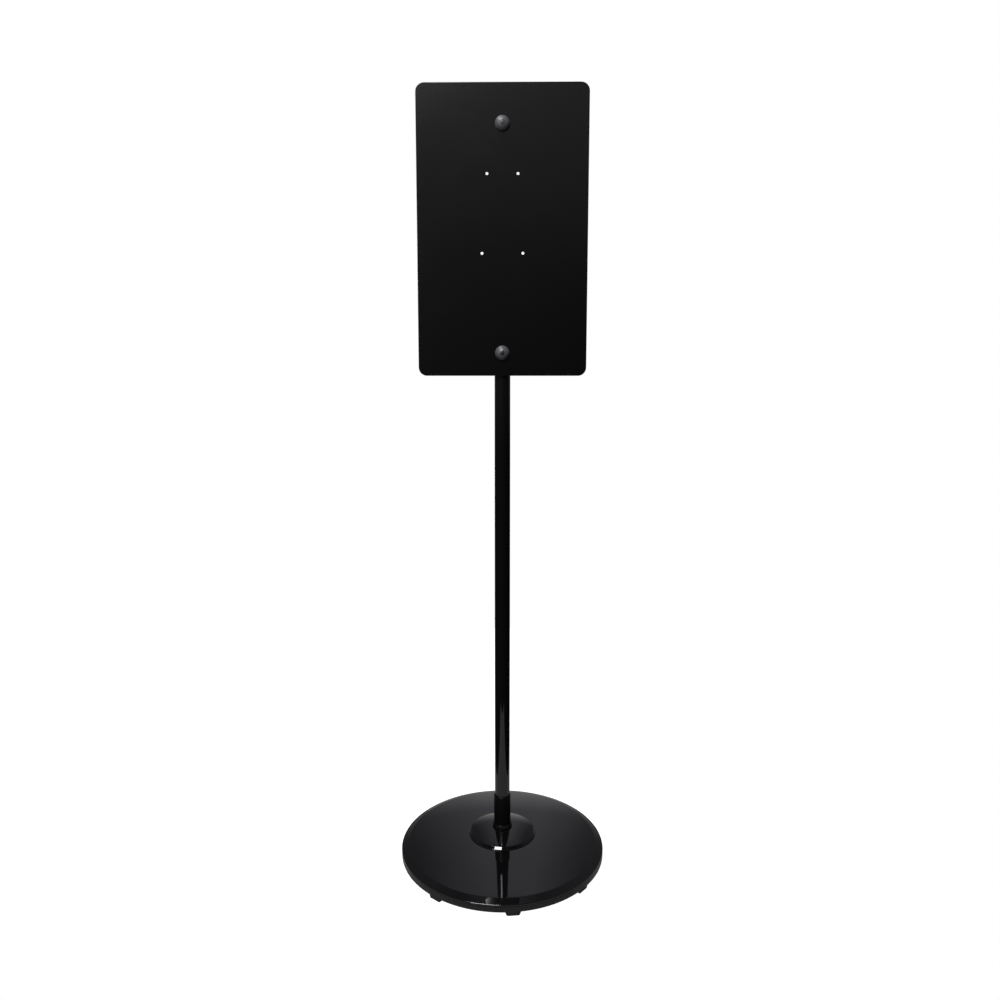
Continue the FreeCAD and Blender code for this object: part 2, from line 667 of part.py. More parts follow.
def make_base_shell():
    """Low domed cover with a bevelled rim, a recess for the flange, and screw bosses inside."""
    body = add_body("base_shell")
    edge_top = "shell_bottom + rim_edge"
    domed = revolve(body, [
        ("0", "shell_bottom"), ("rim_radius", "shell_bottom"), ("rim_radius", edge_top),
        ("shoulder_radius", "shoulder_height", "crown_radius"),
        ("cover_seat", "crown_height"), ("land_radius", "crown_height"),
        ("land_radius", "land_height"), ("0", "land_height")])
    shell = hollow_from_below(body, domed, "shell_wall")
    boss_sketch = add_sketch(body, "XY_Plane", "pan_top")
    draw_circle(boss_sketch, "boss_circle", "0", "boss_radius")
    boss = pad(body, boss_sketch, "crown_centre + sqrt((crown_radius - shell_wall / 2) ^ 2"
                                  " - boss_circle ^ 2) - pan_top")
    hole_sketch = add_sketch(body, "XY_Plane", "pan_top")
    draw_circle(hole_sketch, "boss_circle", "0", "pan_screw_radius")
    hole = pocket(body, hole_sketch, reverse=True, length="pan_screw_length - pan_floor")
    bosses = repeat_round(body, [boss, hole], "foot_count")
    rim = circle_edges(bosses.Shape, "rim_radius", edge_top)
    rounded = round_edges(body, bosses, rim, "rim_rounding")
    shoulder = circle_edges(rounded.Shape, "shoulder_radius", "shoulder_height")
    round_edges(body, rounded, shoulder, "shoulder_rounding")
    drill(body, "0", "sleeve_hole", "land_height")
    bolt_hole = drill(body, "bolt_circle", "bolt_radius + bolt_clearance", "land_height")
    repeat_round(body, [bolt_hole], "bolt_count")
    turn_with_feet(body, "half_step")


def make_bottom_pan():
    """Tray that closes the shell, with ribs below and holes for the screws and the feet's pegs."""
    body = add_body("bottom_pan")
    revolve(body, [
        ("0", "foot_height"), ("pan_radius - pan_draft", "foot_height"),
        ("pan_radius", "seam_height"), ("pan_radius - pan_wall", "seam_height"),
        ("pan_radius - pan_draft - pan_wall", "pan_top"), ("0", "pan_top")])
    ring = add_sketch(body, "XY_Plane", "foot_height")
    draw_circle(ring, "0", "0", "rib_ring_radius")
    draw_circle(ring, "0", "0", "rib_ring_radius - rib_width")
    pad(body, ring, "rib_depth", reverse=True)
    rib_sketch = add_sketch(body, "XY_Plane", "foot_height")
    draw_rectangle(rib_sketch, "-rib_width / 2", "foot_depth - foot_outer_radius",
                   "rib_width / 2", "rib_width / 2 - rib_ring_radius")
    rib = pad(body, rib_sketch, "rib_depth", reverse=True)
    hole_sketch = add_sketch(body, "XY_Plane", "pan_top")
    draw_circle(hole_sketch, "0", "-foot_middle", "peg_radius")
    draw_circle(hole_sketch, "boss_circle * cos(half_step)", "boss_circle * sin(half_step)",
                "pan_screw_radius + pan_screw_clearance")
    holes = pocket(body, hole_sketch)
    repeat_round(body, [rib, holes], "foot_count")
    turn_with_feet(body)


def make_pan_screws():
    """The screws that hold the pan to the shell, heads down, with cross recesses."""
    body = add_body("pan_screws")
    shank = pad_disc(body, "boss_circle", "pan_screw_radius", "foot_height",
                     "foot_height + pan_screw_length")
    head_bottom = "foot_height - pan_head_height"
    head = pad_disc(body, "boss_circle", "pan_head_radius", head_bottom, "foot_height")
    slots = []
    for half_x, half_y in (("pan_slot_length / 2", "pan_slot_width / 2"),
                           ("pan_slot_width / 2", "pan_slot_length / 2")):
        slot = add_sketch(body, "XY_Plane", head_bottom)
        draw_rectangle(slot, f"boss_circle - {half_x}", f"-{half_y}",
                       f"boss_circle + {half_x}", half_y)
        slots.append(pocket(body, slot, reverse=True, length="pan_slot_depth"))
    repeat_round(body, [shank, head, *slots], "foot_count")
    turn_with_feet(body, "half_step")


def make_foot(number):
    """Foot at the pan's edge, narrower at the floor, with a peg that plugs into the pan."""
    body = add_body(f"foot_{number}")
    side = add_sketch(body, "XZ_Plane", "foot_outer_radius - foot_depth")
    draw_outline(side, [
        ("-foot_floor_width / 2", "0"), ("foot_floor_width / 2", "0"),
        ("foot_top_width / 2", "foot_height"), ("-foot_top_width / 2", "foot_height")])
    block = pad(body, side, "foot_depth")
    floor_edges = [f"Edge{index}" for index, edge in enumerate(block.Shape.Edges, start=1)
                   if edge.BoundBox.ZMax < 1e-6]
    round_edges(body, block, floor_edges, "foot_edge")
    peg = add_sketch(body, "XY_Plane", "foot_height")
    draw_circle(peg, "0", "-foot_middle", "peg_radius")
    pad(body, peg, "peg_height")
    turn_with_feet(body, f"360 / foot_count * {number - 1}")


def make_ballast():
    """Cast weight on the pan's floor, with a raised hub for the socket and its screws."""
    body = add_body("ballast")
    revolve(body, [
        ("0", "pan_top"), ("ballast_radius", "pan_top"),
        ("ballast_radius", "pan_top + ballast_thickness"),
        ("flange_radius", "pan_top + ballast_thickness"), ("flange_radius", "hub_top"),
        ("sleeve_radius + ballast_bore_gap", "hub_top"),
        ("sleeve_radius + ballast_bore_gap", "socket_floor"), ("0", "socket_floor")])
    hole = drill(body, "bolt_circle", "bolt_radius", "hub_top",
                 "bolt_length - bolt_washer - flange_thickness - shell_wall")
    repeat_round(body, [hole], "bolt_count")
    turn_with_feet(body, "half_step")


def check_document():
    """Stop if any object failed, or if a sub-part's shape is missing or not valid."""
    for item in DOCUMENT.Objects:
        if "Invalid" in item.State or "Error" in item.State:
            raise RuntimeError(f"{item.Name} failed: {item.State}")
    for body in DOCUMENT.findObjects("PartDesign::Body"):
        if body.Shape.isNull() or not body.Shape.isValid() or not body.Shape.Solids:
            raise RuntimeError(f"{body.Label} has no valid solid")


def write_parts():
    """Write each sub-part to a file of its own, named by its label."""
    os.makedirs("parts", exist_ok=True)
    for body in DOCUMENT.findObjects("PartDesign::Body"):
        body.Shape.exportStep(f"parts/{body.Label}.step")


SHEET = fill_sheet()
make_sign_plate()
make_column_tube()
make_end_plug("column_cap", "tube_top", FreeCAD.Rotation())
make_end_plug("column_plug", "tube_bottom", UPSIDE_DOWN)
for level in ("upper", "lower"):
    make_saddle(f"saddle_{level}", f"{level}_screw")
    make_rivet_nut(f"rivet_nut_{level}", f"{level}_screw")
    make_knob(f"knob_{level}", f"{level}_screw")
    make_knob_screw(f"knob_screw_{level}", f"{level}_screw")
    make_knob_washer(f"knob_washer_{level}", f"{level}_screw")
make_socket_sleeve()
make_socket_flange()
make_socket_weld()
make_flange_screws()
make_flange_washers()
make_lock_boss()
make_lock_screw()
make_hub_cover()
make_neck_ring()
make_base_shell()
make_bottom_pan()
make_pan_screws()
for foot_number in range(1, int(amount("foot_count")) + 1):
    make_foot(foot_number)
make_ballast()
DOCUMENT.recompute()
check_document()
write_parts()
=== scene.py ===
"""Visible surfaces, finishes and studio of a floor-standing sign stand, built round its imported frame.

Sizes in the classes are in millimetres, as on a maker's drawing. Meshes are in metres.
"""

import logging
from collections.abc import Callable, Sequence
from dataclasses import dataclass
from enum import Enum
from math import atan2, ceil, cos, hypot, pi, radians, sin, sqrt, tan

import bmesh
import bpy
import numpy as np
from mathutils import Euler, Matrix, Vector
from mathutils.geometry import delaunay_2d_cdt


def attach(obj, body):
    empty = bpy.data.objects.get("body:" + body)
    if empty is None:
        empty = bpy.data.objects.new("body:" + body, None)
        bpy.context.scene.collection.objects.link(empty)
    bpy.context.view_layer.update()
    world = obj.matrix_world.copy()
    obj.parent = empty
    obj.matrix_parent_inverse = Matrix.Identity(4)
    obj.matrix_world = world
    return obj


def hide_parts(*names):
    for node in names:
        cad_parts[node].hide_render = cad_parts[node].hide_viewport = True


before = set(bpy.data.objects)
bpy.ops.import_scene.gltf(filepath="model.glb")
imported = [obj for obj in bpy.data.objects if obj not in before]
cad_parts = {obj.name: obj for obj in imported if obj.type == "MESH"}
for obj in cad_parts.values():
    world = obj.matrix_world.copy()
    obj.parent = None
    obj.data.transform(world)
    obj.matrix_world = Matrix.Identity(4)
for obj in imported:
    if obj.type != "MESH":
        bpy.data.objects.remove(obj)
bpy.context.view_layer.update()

LOG = logging.getLogger("sign_stand")
MM = 0.001
SMOOTH_BELOW = radians(38.0)
MERGE_WITHIN = 2e-7
ROUNDING_STEP = radians(11.0)
SETTLED_DUST = (0.30, 0.29, 0.28)
DUST_SHARE = 0.25
# Features in a metre of surface, and fine streaks in each handling mark.
PATCH_SCALE = 14.0
SPECK_SCALE = 1400.0
CHIP_SCALE = 260.0
STREAKS_PER_PATCH = 9.0

Point = tuple[float, float]
Place = tuple[float, float, float]
Colour = tuple[float, float, float]
Ramp = tuple[float, float, float, float]


class Body(str, Enum):
    """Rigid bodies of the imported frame."""

    BASE = "base"
    COLUMN = "column"


# ---------------------------------------------------------------------------------------------
# Surfaces
# ---------------------------------------------------------------------------------------------


@dataclass(frozen=True)
class Skin:
    """A closed surface.

    Args:
        points: One row of x, y, z for each point, in millimetres.
        faces: Blocks of faces; each block has one row of point numbers for each face.
    """

    points: np.ndarray
    faces: tuple[np.ndarray, ...]

    def moved(self, places: np.ndarray) -> "Skin":
        """Return the same faces on other points."""
        return Skin(places, self.faces)


def joined(*skins: Skin) -> Skin:
    """Put several surfaces in one.

    Args:
        *skins: The surfaces.

    Returns:
        One surface with all their points and faces.
    """
    firsts = np.cumsum([0] + [len(skin.points) for skin in skins[:-1]])
    faces = [block + first for skin, first in zip(skins, firsts) for block in skin.faces]
    return Skin(np.vstack([skin.points for skin in skins]), tuple(faces))


def arc(start: Point, end: Point, radius: float, steps: int) -> list[Point]:
    """Points on an arc that bends to the left from start to end, both included.

    The centre lies on the left of the chord, at the square root of radius squared less half the
    chord squared; the points are centre plus radius times (cos a, sin a) at even steps of a.

    Args:
        start: First point.
        end: Last point.
        radius: The arc's radius.
        steps: Number of equal steps.

    Returns:
        The points, one more than steps.
    """
    (x0, z0), (x1, z1) = start, end
    chord = hypot(x1 - x0, z1 - z0)
    rise = sqrt(radius**2 - chord**2 / 4) / chord
    cx = (x0 + x1) / 2 - (z1 - z0) * rise
    cz = (z0 + z1) / 2 + (x1 - x0) * rise
    first = atan2(z0 - cz, x0 - cx)
    sweep = (atan2(z1 - cz, x1 - cx) - first) % (2 * pi)
    turns = first + sweep * np.linspace(0.0, 1.0, steps + 1)
    return list(zip(cx + radius * np.cos(turns), cz + radius * np.sin(turns)))


def softened(corners: Sequence[tuple[float, ...]], closed: bool = True) -> np.ndarray:
    """Round the corners of an outline that gives a rounding as a third number.

    A corner of rounding q, where the outline turns by the angle t, is cut back by q tan(t / 2)
    along both sides, and the arc between the two cuts has its centre at q from both. A holding
    point a little further along each side keeps the shading flat up to the rounding.

    Args:
        corners: (radius, height) or (radius, height, rounding) of each corner, in order.
        closed: Whether the last corner joins the first.

    Returns:
        One row of radius and height for each point of the softened outline.
    """
    places = np.array([corner[:2] for corner in corners], float)
    count = len(places)
    outline: list[np.ndarray] = []
    for index, corner in enumerate(corners):
        here = places[index]
        rounding = corner[2] if len(corner) > 2 else 0.0
        at_end = not closed and index in (0, count - 1)
        if rounding <= 0.0 or at_end:
            outline.append(here)
            continue
        before = places[index - 1] - here
        after = places[(index + 1) % count] - here
        room = min(np.linalg.norm(before), np.linalg.norm(after))
        before /= np.linalg.norm(before)
        after /= np.linalg.norm(after)
        half_turn = (pi - np.arccos(np.clip(before @ after, -1.0, 1.0))) / 2
        cut = min(rounding * tan(half_turn), room * 0.45)
        radius = cut / tan(half_turn)
        middle = (before + after) / np.linalg.norm(before + after)
        centre = here + middle * radius / cos(half_turn)
        start, end = here + before * cut, here + after * cut
        steps = max(2, ceil(2 * half_turn / ROUNDING_STEP))
        hold = min(0.35 * radius, 0.3 * (room - cut))
        outline.append(start + before * hold)
        share = np.linspace(0.0, 1.0, steps + 1)[:, None]
        angle = 2 * half_turn
        weights = (np.sin((1 - share) * angle), np.sin(share * angle))
        spokes = (weights[0] * (start - centre) + weights[1] * (end - centre)) / sin(angle)
        outline.extend(centre + spokes)
        outline.append(end + after * hold)
    return np.array(outline)


def ring_faces(rows: int, around: int, closed: bool) -> np.ndarray:
    """Number the quads of a grid that closes on itself in its second direction.

    Args:
        rows: Points in the first direction.
        around: Points in the second direction.
        closed: Whether the first direction closes too.

    Returns:
        One row of four point numbers for each quad.
    """
    row = np.arange(rows if closed else rows - 1)[:, None]
    step = np.arange(around)[None, :]
    next_row, next_step = (row + 1) % rows, (step + 1) % around
    quads = (row * around + step, row * around + next_step,
             next_row * around + next_step, next_row * around + step)
    return np.stack(np.broadcast_arrays(*quads), axis=-1).reshape(-1, 4)


def turned(outline: np.ndarray, around: int, closed: bool = True,
           reach: Callable[[np.ndarray, np.ndarray], np.ndarray] | None = None) -> Skin:
    """Carry an outline round the Z axis.

    A point (r, z) of the outline goes to (r cos a, r sin a, z) for each angle a of an even
    division of the turn. reach may replace r by a value that depends on a as well.

    Args:
        outline: Radius and height of each point, anticlockwise.
        around: Steps in one turn.
        closed: Whether the outline closes; if not, it starts and ends on the axis.
        reach: Gives the radius for each point (rows) and angle (columns).

    Returns:
        The surface.
    """
    turn = np.arange(around) * 2 * pi / around
    radius = np.repeat(outline[:, :1], around, axis=1)
    if reach is not None:
        radius = reach(radius, turn[None, :])
    height = np.repeat(outline[:, 1:2], around, axis=1)
    points = np.stack([radius * np.cos(turn), radius * np.sin(turn), height], axis=-1)
    return Skin(points.reshape(-1, 3), (ring_faces(len(outline), around, closed),))


def facing_out(skin: Skin, height: float) -> Skin:
    """Lay a surface made about Z so that Z points out from the plate's front.

    (x, y, z) goes to (x, -z, y + height), which is a quarter turn about X.

    Args:
        skin: The surface, made about the Z axis.
        height: Height of its axis above the floor.

    Returns:
        The surface in its place.
    """
    x, y, z = skin.points.T
    return skin.moved(np.stack([x, -z, y + height], axis=-1))


def turned_about_column(skin: Skin, angle: float) -> Skin:
    """Turn a surface about the column: (x, y) goes to (x cos a - y sin a, x sin a + y cos a).

    Args:
        skin: The surface.
        angle: The turn, in radians, anticlockwise as seen from above.

    Returns:
        The surface in its place.
    """
    x, y, z = skin.points.T
    c, s = cos(angle), sin(angle)
    return skin.moved(np.stack([x * c - y * s, x * s + y * c, z], axis=-1))


def rounded_rectangle(half_width: float, half_depth: float, corner: float,
                      per_corner: int = 8) -> tuple[np.ndarray, np.ndarray]:
    """Points round a rectangle with rounded corners, anticlockwise, and their outward directions.

    Each corner is its centre plus corner times (cos a, sin a) over a quarter turn.

    Args:
        half_width: Half of the size along the first axis.
        half_depth: Half of the size along the second axis.
        corner: Radius of the corners.
        per_corner: Steps in each corner.

    Returns:
        The points and their outward directions, one row each.
    """
    quarter = np.linspace(0.0, pi / 2, per_corner + 1)
    turn = np.concatenate([quarter + k * pi / 2 for k in range(4)])
    signs = np.repeat([[1, 1], [-1, 1], [-1, -1], [1, -1]], per_corner + 1, axis=0)
    outward = np.stack([np.cos(turn), np.sin(turn)], axis=-1)
    centres = signs * np.array([half_width - corner, half_depth - corner])
    return centres + corner * outward, outward


def add_piece(name: str, skin: Skin, finish: bpy.types.Material, body: str,
              stands_for: Sequence[str]) -> bpy.types.Object:
    """Make an object of a surface, on its body, in place of CAD nodes.

    Args:
        name: The piece's name.
        skin: Its surface, in millimetres.
        finish: Its material.
        body: The body that it rides on.
        stands_for: The CAD nodes that it replaces.

    Returns:
        The new object.
    """
    mesh = bpy.data.meshes.new(name)
    rows = [row for block in skin.faces for row in block.tolist()]
    mesh.from_pydata((skin.points * MM).tolist(), [], rows)
    work = bmesh.new()
    work.from_mesh(mesh)
    bmesh.ops.remove_doubles(work, verts=work.verts, dist=MERGE_WITHIN)
    work.to_mesh(mesh)
    work.free()
    mesh.polygons.foreach_set("use_smooth", np.ones(len(mesh.polygons), bool))
    mesh.set_sharp_from_angle(angle=SMOOTH_BELOW)
    mesh.materials.append(finish)
    piece = bpy.data.objects.new(name, mesh)
    bpy.context.scene.collection.objects.link(piece)
    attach(piece, body)
    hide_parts(*stands_for)
    LOG.info("%s: %d points, %d faces", name, len(mesh.vertices), len(mesh.polygons))
    return piece


# ---------------------------------------------------------------------------------------------
# Node wiring and shared effects
# ---------------------------------------------------------------------------------------------


class Wiring:
    """Adds nodes to one node tree and joins them."""

    def __init__(self, tree: bpy.types.NodeTree) -> None:
        """Start on a tree."""
        self.tree = tree

    def add(self, kind: str, inputs: dict | None = None, **settings: object) -> bpy.types.Node:
        """Add a node.

        Args:
            kind: Blender's name of the node type.
            inputs: Values or output sockets for its inputs, by name or number.
            **settings: Properties of the node.

        Returns:
            The node.
        """
        node = self.tree.nodes.new(kind)
        for name, value in settings.items():
            setattr(node, name, value)
        for key, value in (inputs or {}).items():
            self.feed(node.inputs[key], value)
        return node

    def feed(self, socket: bpy.types.NodeSocket, value: object) -> None:
        """Join an input to an output socket, or set it to a value.

        Args:
            socket: The input.
            value: An output socket, or a value.
        """
        if isinstance(value, bpy.types.NodeSocket):
            self.tree.links.new(value, socket)
        else:
            socket.default_value = value

    def noise(self, place: bpy.types.NodeSocket, scale: object, detail: float,
              **more: float) -> bpy.types.NodeSocket:
        """Add a noise texture.

        Args:
            place: Where on the surface it is read.
            scale: Its features in a metre.
            detail: Its finer layers.
            **more: Other inputs, by name in small letters.

        Returns:
            Its value's output socket.
        """
        inputs = {"Vector": place, "Scale": scale, "Detail": detail}
        inputs.update({name.title(): value for name, value in more.items()})
        return self.add("ShaderNodeTexNoise", inputs).outputs[0]

    def math(self, operation: str, first: object, second: object = 0.0) -> bpy.types.NodeSocket:
        """Add a Math node on two values or sockets and return its output."""
        node = self.add("ShaderNodeMath", {0: first, 1: second}, operation=operation)
        return node.outputs[0]

    def product(self, first: object, second: object) -> bpy.types.NodeSocket:
        """Multiply two values or sockets and return the output."""
        return self.math("MULTIPLY", first, second)

    def span(self, value: object, low: float, high: float, to_low: float = 0.0,
             to_high: float = 1.0) -> bpy.types.NodeSocket:
        """Map the range low to high onto to_low to to_high, clamped, and return the output."""
        node = self.add("ShaderNodeMapRange", {
            "Value": value, "From Min": low, "From Max": high, "To Min": to_low,
            "To Max": to_high})
        return node.outputs["Result"]

    def blend(self, share: object, first: object, second: Colour) -> bpy.types.NodeSocket:
        """Mix two colours by a share that varies over the surface.

        Args:
            share: How much of the second colour shows.
            first: A colour, or the output socket of one.
            second: The second colour.

        Returns:
            The mixed colour's output socket.
        """
        node = self.add("ShaderNodeMix", data_type="RGBA")
        sockets = {socket.identifier: socket for socket in node.inputs}
        self.feed(sockets["Factor_Float"], share)
        self.feed(sockets["A_Color"], (*first, 1.0) if isinstance(first, tuple) else first)
        self.feed(sockets["B_Color"], (*second, 1.0))
        return next(s for s in node.outputs if s.identifier == "Result_Color")


@dataclass(frozen=True)
class Effect:
    """A shader node group that several finishes use.

    Args:
        name: The group's name.
        wire: Puts the group's nodes in.
        outputs: Names of its outputs.
        inputs: Names and first values of its inputs beside the place.
    """

    name: str
    wire: Callable[[Wiring, dict], dict]
    outputs: tuple[str, ...]
    inputs: tuple[tuple[str, float], ...]

    def group(self) -> bpy.types.NodeTree:
        """Return the group, which is built the first time.

        Returns:
            The node group.
        """
        made = bpy.data.node_groups.get(self.name)
        if made:
            return made
        made = bpy.data.node_groups.new(self.name, "ShaderNodeTree")
        made.interface.new_socket("Place", in_out="INPUT", socket_type="NodeSocketVector")
        for name, start in self.inputs:
            socket = made.interface.new_socket(name, in_out="INPUT",
                                               socket_type="NodeSocketFloat")
            socket.default_value = start
        for name in self.outputs:
            made.interface.new_socket(name, in_out="OUTPUT", socket_type="NodeSocketFloat")
        wiring = Wiring(made)
        entry = wiring.add("NodeGroupInput")
        results = self.wire(wiring, {s.name: s for s in entry.outputs if s.name})
        wiring.add("NodeGroupOutput", results)
        return made

    def place(self, wiring: Wiring, inputs: dict) -> bpy.types.NodeOutputs:
        """Put the group in a material.

        Args:
            wiring: The material's wiring.
            inputs: Values or sockets for the group's inputs.

        Returns:
            The group node's outputs.
        """
        return wiring.add("ShaderNodeGroup", inputs, node_tree=self.group()).outputs


def wire_peel(w: Wiring, given: dict) -> dict:
    """Low waves of a gloss surface: a short noise, and a long one times how far it sways.

    Args:
        w: The group's wiring.
        given: The group's inputs, by name.

    Returns:
        The group's outputs, by name.
    """
    short_wave = w.noise(given["Place"], w.math("DIVIDE", 1.0, given["Size"]), 1.0)
    long_wave = w.noise(given["Place"], PATCH_SCALE, 0.0)
    sway = w.product(long_wave, given["Sway"])
    return {"Height": w.math("ADD", short_wave, sway)}


def wire_grain(w: Wiring, given: dict) -> dict:
    """Fine pits and grains: noise on cells, with the noise's own tone as a mask.

    Args:
        w: The group's wiring.
        given: The group's inputs, by name.

    Returns:
        The group's outputs, by name.
    """
    scale = w.math("DIVIDE", 1.0, given["Size"])
    fine = w.noise(given["Place"], scale, 2.0, roughness=0.6)
    cells = w.add("ShaderNodeTexVoronoi", {
        "Vector": given["Place"], "Scale": w.product(scale, 0.8)}, feature="SMOOTH_F1")
    height = w.product(fine, w.math("ADD", cells.outputs["Distance"], 0.6))
    return {"Height": height, "Mask": w.span(fine, 0.35, 0.7)}


def wire_dust(w: Wiring, given: dict) -> dict:
    """Dust that settles on what faces up: the normal's rise times speckles and soft patches.

    Args:
        w: The group's wiring.
        given: The group's inputs, by name.

    Returns:
        The group's outputs, by name.
    """
    normal = w.add("ShaderNodeNewGeometry").outputs["Normal"]
    rise = w.add("ShaderNodeSeparateXYZ", {0: normal}).outputs["Z"]
    facing_up = w.span(rise, 0.25, 1.0, 0.12, 1.0)
    spots = w.span(w.noise(given["Place"], SPECK_SCALE, 1.0), 0.66, 0.80)
    film = w.span(w.noise(given["Place"], PATCH_SCALE, 3.0), 0.35, 0.75, 0.05, 0.35)
    cover = w.product(w.math("ADD", spots, film), facing_up)
    return {"Mask": w.product(cover, given["Amount"])}


def wire_handling(w: Wiring, given: dict) -> dict:
    """Where hands and cloths have been: warped soft patches, broken up by fine streaks.

    Args:
        w: The group's wiring.
        given: The group's inputs, by name.

    Returns:
        The group's outputs, by name.
    """
    scale = w.math("DIVIDE", 1.0, given["Size"])
    patch = w.noise(given["Place"], scale, 3.0, distortion=0.8)
    streak = w.noise(given["Place"], w.product(scale, STREAKS_PER_PATCH), 2.0)
    soft = w.span(patch, 0.42, 0.68)
    return {"Mask": w.product(soft, w.span(streak, 0.2, 0.8, 0.5, 1.0))}


def wire_edges(w: Wiring, given: dict) -> dict:
    """Edges that rub smooth: where the surface bends outward, broken up by noise.

    Args:
        w: The group's wiring.
        given: The group's inputs, by name.

    Returns:
        The group's outputs, by name.
    """
    bend = w.add("ShaderNodeNewGeometry").outputs["Pointiness"]
    broken = w.span(w.noise(given["Place"], CHIP_SCALE, 2.0), 0.3, 0.7, 0.25, 1.0)
    worn = w.product(w.span(bend, 0.52, 0.60), broken)
    return {"Mask": w.product(worn, given["Amount"])}


PEEL = Effect("Peel", wire_peel, ("Height",), (("Size", 0.004), ("Sway", 0.0)))
GRAIN = Effect("Grain", wire_grain, ("Height", "Mask"), (("Size", 0.0006),))
DUST = Effect("Settled dust", wire_dust, ("Mask",), (("Amount", 0.5),))
HANDLING = Effect("Handling marks", wire_handling, ("Mask",), (("Size", 0.05),))
EDGES = Effect("Rubbed edges", wire_edges, ("Mask",), (("Amount", 0.5),))


# ---------------------------------------------------------------------------------------------
# Finishes
# ---------------------------------------------------------------------------------------------


@dataclass(frozen=True)
class Finish:
    """One finish of the stand: a dark or metallic surface with its own relief, marks and dust.

    Args:
        name: The finish's name.
        colour: Its colour.
        rubbed: Its colour where edges have rubbed.
        smoothest: Roughness where it is clean.
        roughest: Roughness where it has been handled.
        relief: The effect that gives its relief.
        relief_size: Size of the relief's features, in metres.
        relief_depth: Depth of the relief, in metres.
        sway: Depth of a gloss surface's long waves, in relief depths.
        marks: Size of the handling marks, in metres.
        dust: How much dust has settled.
        wear: How far the edges have rubbed.
        metallic: Whether it is bare metal.
        stretch: How far the relief is drawn out along Z.
        gloss_index: Index of refraction of the surface.
    """

    name: str
    colour: Colour
    rubbed: Colour
    smoothest: float
    roughest: float
    relief: Effect
    relief_size: float
    relief_depth: float
    sway: float = 0.0
    marks: float = 0.05
    dust: float = 0.3
    wear: float = 0.3
    metallic: float = 0.0
    stretch: float = 1.0
    gloss_index: float = 1.5

    def material(self) -> bpy.types.Material:
        """Return the finish's material, which is built the first time.

        Returns:
            The material.
        """
        made = bpy.data.materials.get(self.name)
        if made:
            return made
        made = bpy.data.materials.new(self.name)
        made.use_nodes = True
        made.node_tree.nodes.clear()
        w = Wiring(made.node_tree)
        place = w.add("ShaderNodeTexCoord").outputs["Object"]
        drawn = w.add("ShaderNodeMapping", {
            "Vector": place, "Scale": (1.0, 1.0, 1.0 / self.stretch)}).outputs[0]
        shape = {"Place": drawn, "Size": self.relief_size}
        if self.sway:
            shape["Sway"] = self.sway
        relief = self.relief.place(w, shape)
        dust = DUST.place(w, {"Place": place, "Amount": self.dust})["Mask"]
        marks = HANDLING.place(w, {"Place": place, "Size": self.marks})["Mask"]
        edges = EDGES.place(w, {"Place": place, "Amount": self.wear})["Mask"]
        film = w.product(dust, DUST_SHARE)
        colour = w.blend(film, w.blend(edges, self.colour, self.rubbed), SETTLED_DUST)
        handled = w.span(marks, 0.0, 1.0, self.smoothest, self.roughest)
        roughness = w.math("ADD", handled, film)
        bump = w.add("ShaderNodeBump", {
            "Height": relief["Height"], "Strength": 1.0, "Distance": self.relief_depth})
        shader = w.add("ShaderNodeBsdfPrincipled", {
            "Base Color": colour, "Roughness": roughness, "Metallic": self.metallic,
            "IOR": self.gloss_index, "Normal": bump.outputs[0]})
        w.add("ShaderNodeOutputMaterial", {"Surface": shader.outputs[0]})
        return made


SHELL_GLOSS = Finish("Gloss black moulding", (0.0022, 0.0020, 0.0023), (0.02, 0.02, 0.02),
                     0.025, 0.050, PEEL, 0.006, 0.000004, sway=150.0, marks=0.08, dust=0.03,
                     wear=0.2)
COLUMN_PAINT = Finish("Gloss black enamel", (0.0035, 0.0030, 0.0032), (0.03, 0.03, 0.03),
                      0.045, 0.070, PEEL, 0.003, 0.000003, sway=8.0, marks=0.06, dust=0.05,
                      wear=0.2, stretch=4.0)
RING_GLOSS = Finish("Black trim ring", (0.0015, 0.0014, 0.0015), (0.02, 0.02, 0.02),
                    0.10, 0.14, PEEL, 0.002, 0.000002, sway=2.0, marks=0.04, dust=0.03,
                    wear=0.2, gloss_index=1.32)
SLEEVE_PAINT = Finish("Dull black enamel", (0.0015, 0.0014, 0.0015), (0.02, 0.02, 0.02),
                      0.30, 0.36, GRAIN, 0.0015, 0.000006, marks=0.06, dust=0.02, wear=0.1,
                      gloss_index=1.22)
PLATE_PAINT = Finish("Satin black sheet paint", (0.0018, 0.0015, 0.0015), (0.03, 0.03, 0.032),
                     0.15, 0.17, GRAIN, 0.0009, 0.000005, marks=0.12, dust=0.02, wear=0.25,
                     gloss_index=1.43)
PAN_PLASTIC = Finish("Matt black pan plastic", (0.0040, 0.0040, 0.0046), (0.03, 0.03, 0.03),
                     0.36, 0.44, GRAIN, 0.0007, 0.00003, dust=0.08, wear=0.4, gloss_index=1.30)
FOOT_RUBBER = Finish("Black rubber", (0.0060, 0.0060, 0.0070), (0.030, 0.030, 0.030),
                     0.52, 0.62, GRAIN, 0.0012, 0.00008, dust=0.15, wear=0.5, gloss_index=1.42)
KNOB_PLASTIC = Finish("Satin knob plastic", (0.050, 0.050, 0.054), (0.10, 0.10, 0.10),
                      0.38, 0.46, GRAIN, 0.0006, 0.00005, marks=0.01, dust=0.2, wear=0.5)
MOULDED_BLACK = Finish("Moulded black plastic", (0.012, 0.012, 0.012), (0.04, 0.04, 0.04),
                       0.38, 0.48, GRAIN, 0.0008, 0.00006, marks=0.02, dust=0.3, wear=0.4)
BLACK_OXIDE = Finish("Blackened steel", (0.050, 0.050, 0.053), (0.22, 0.21, 0.20),
                     0.34, 0.46, GRAIN, 0.0005, 0.00002, marks=0.006, dust=0.2, wear=0.8,
                     metallic=1.0)
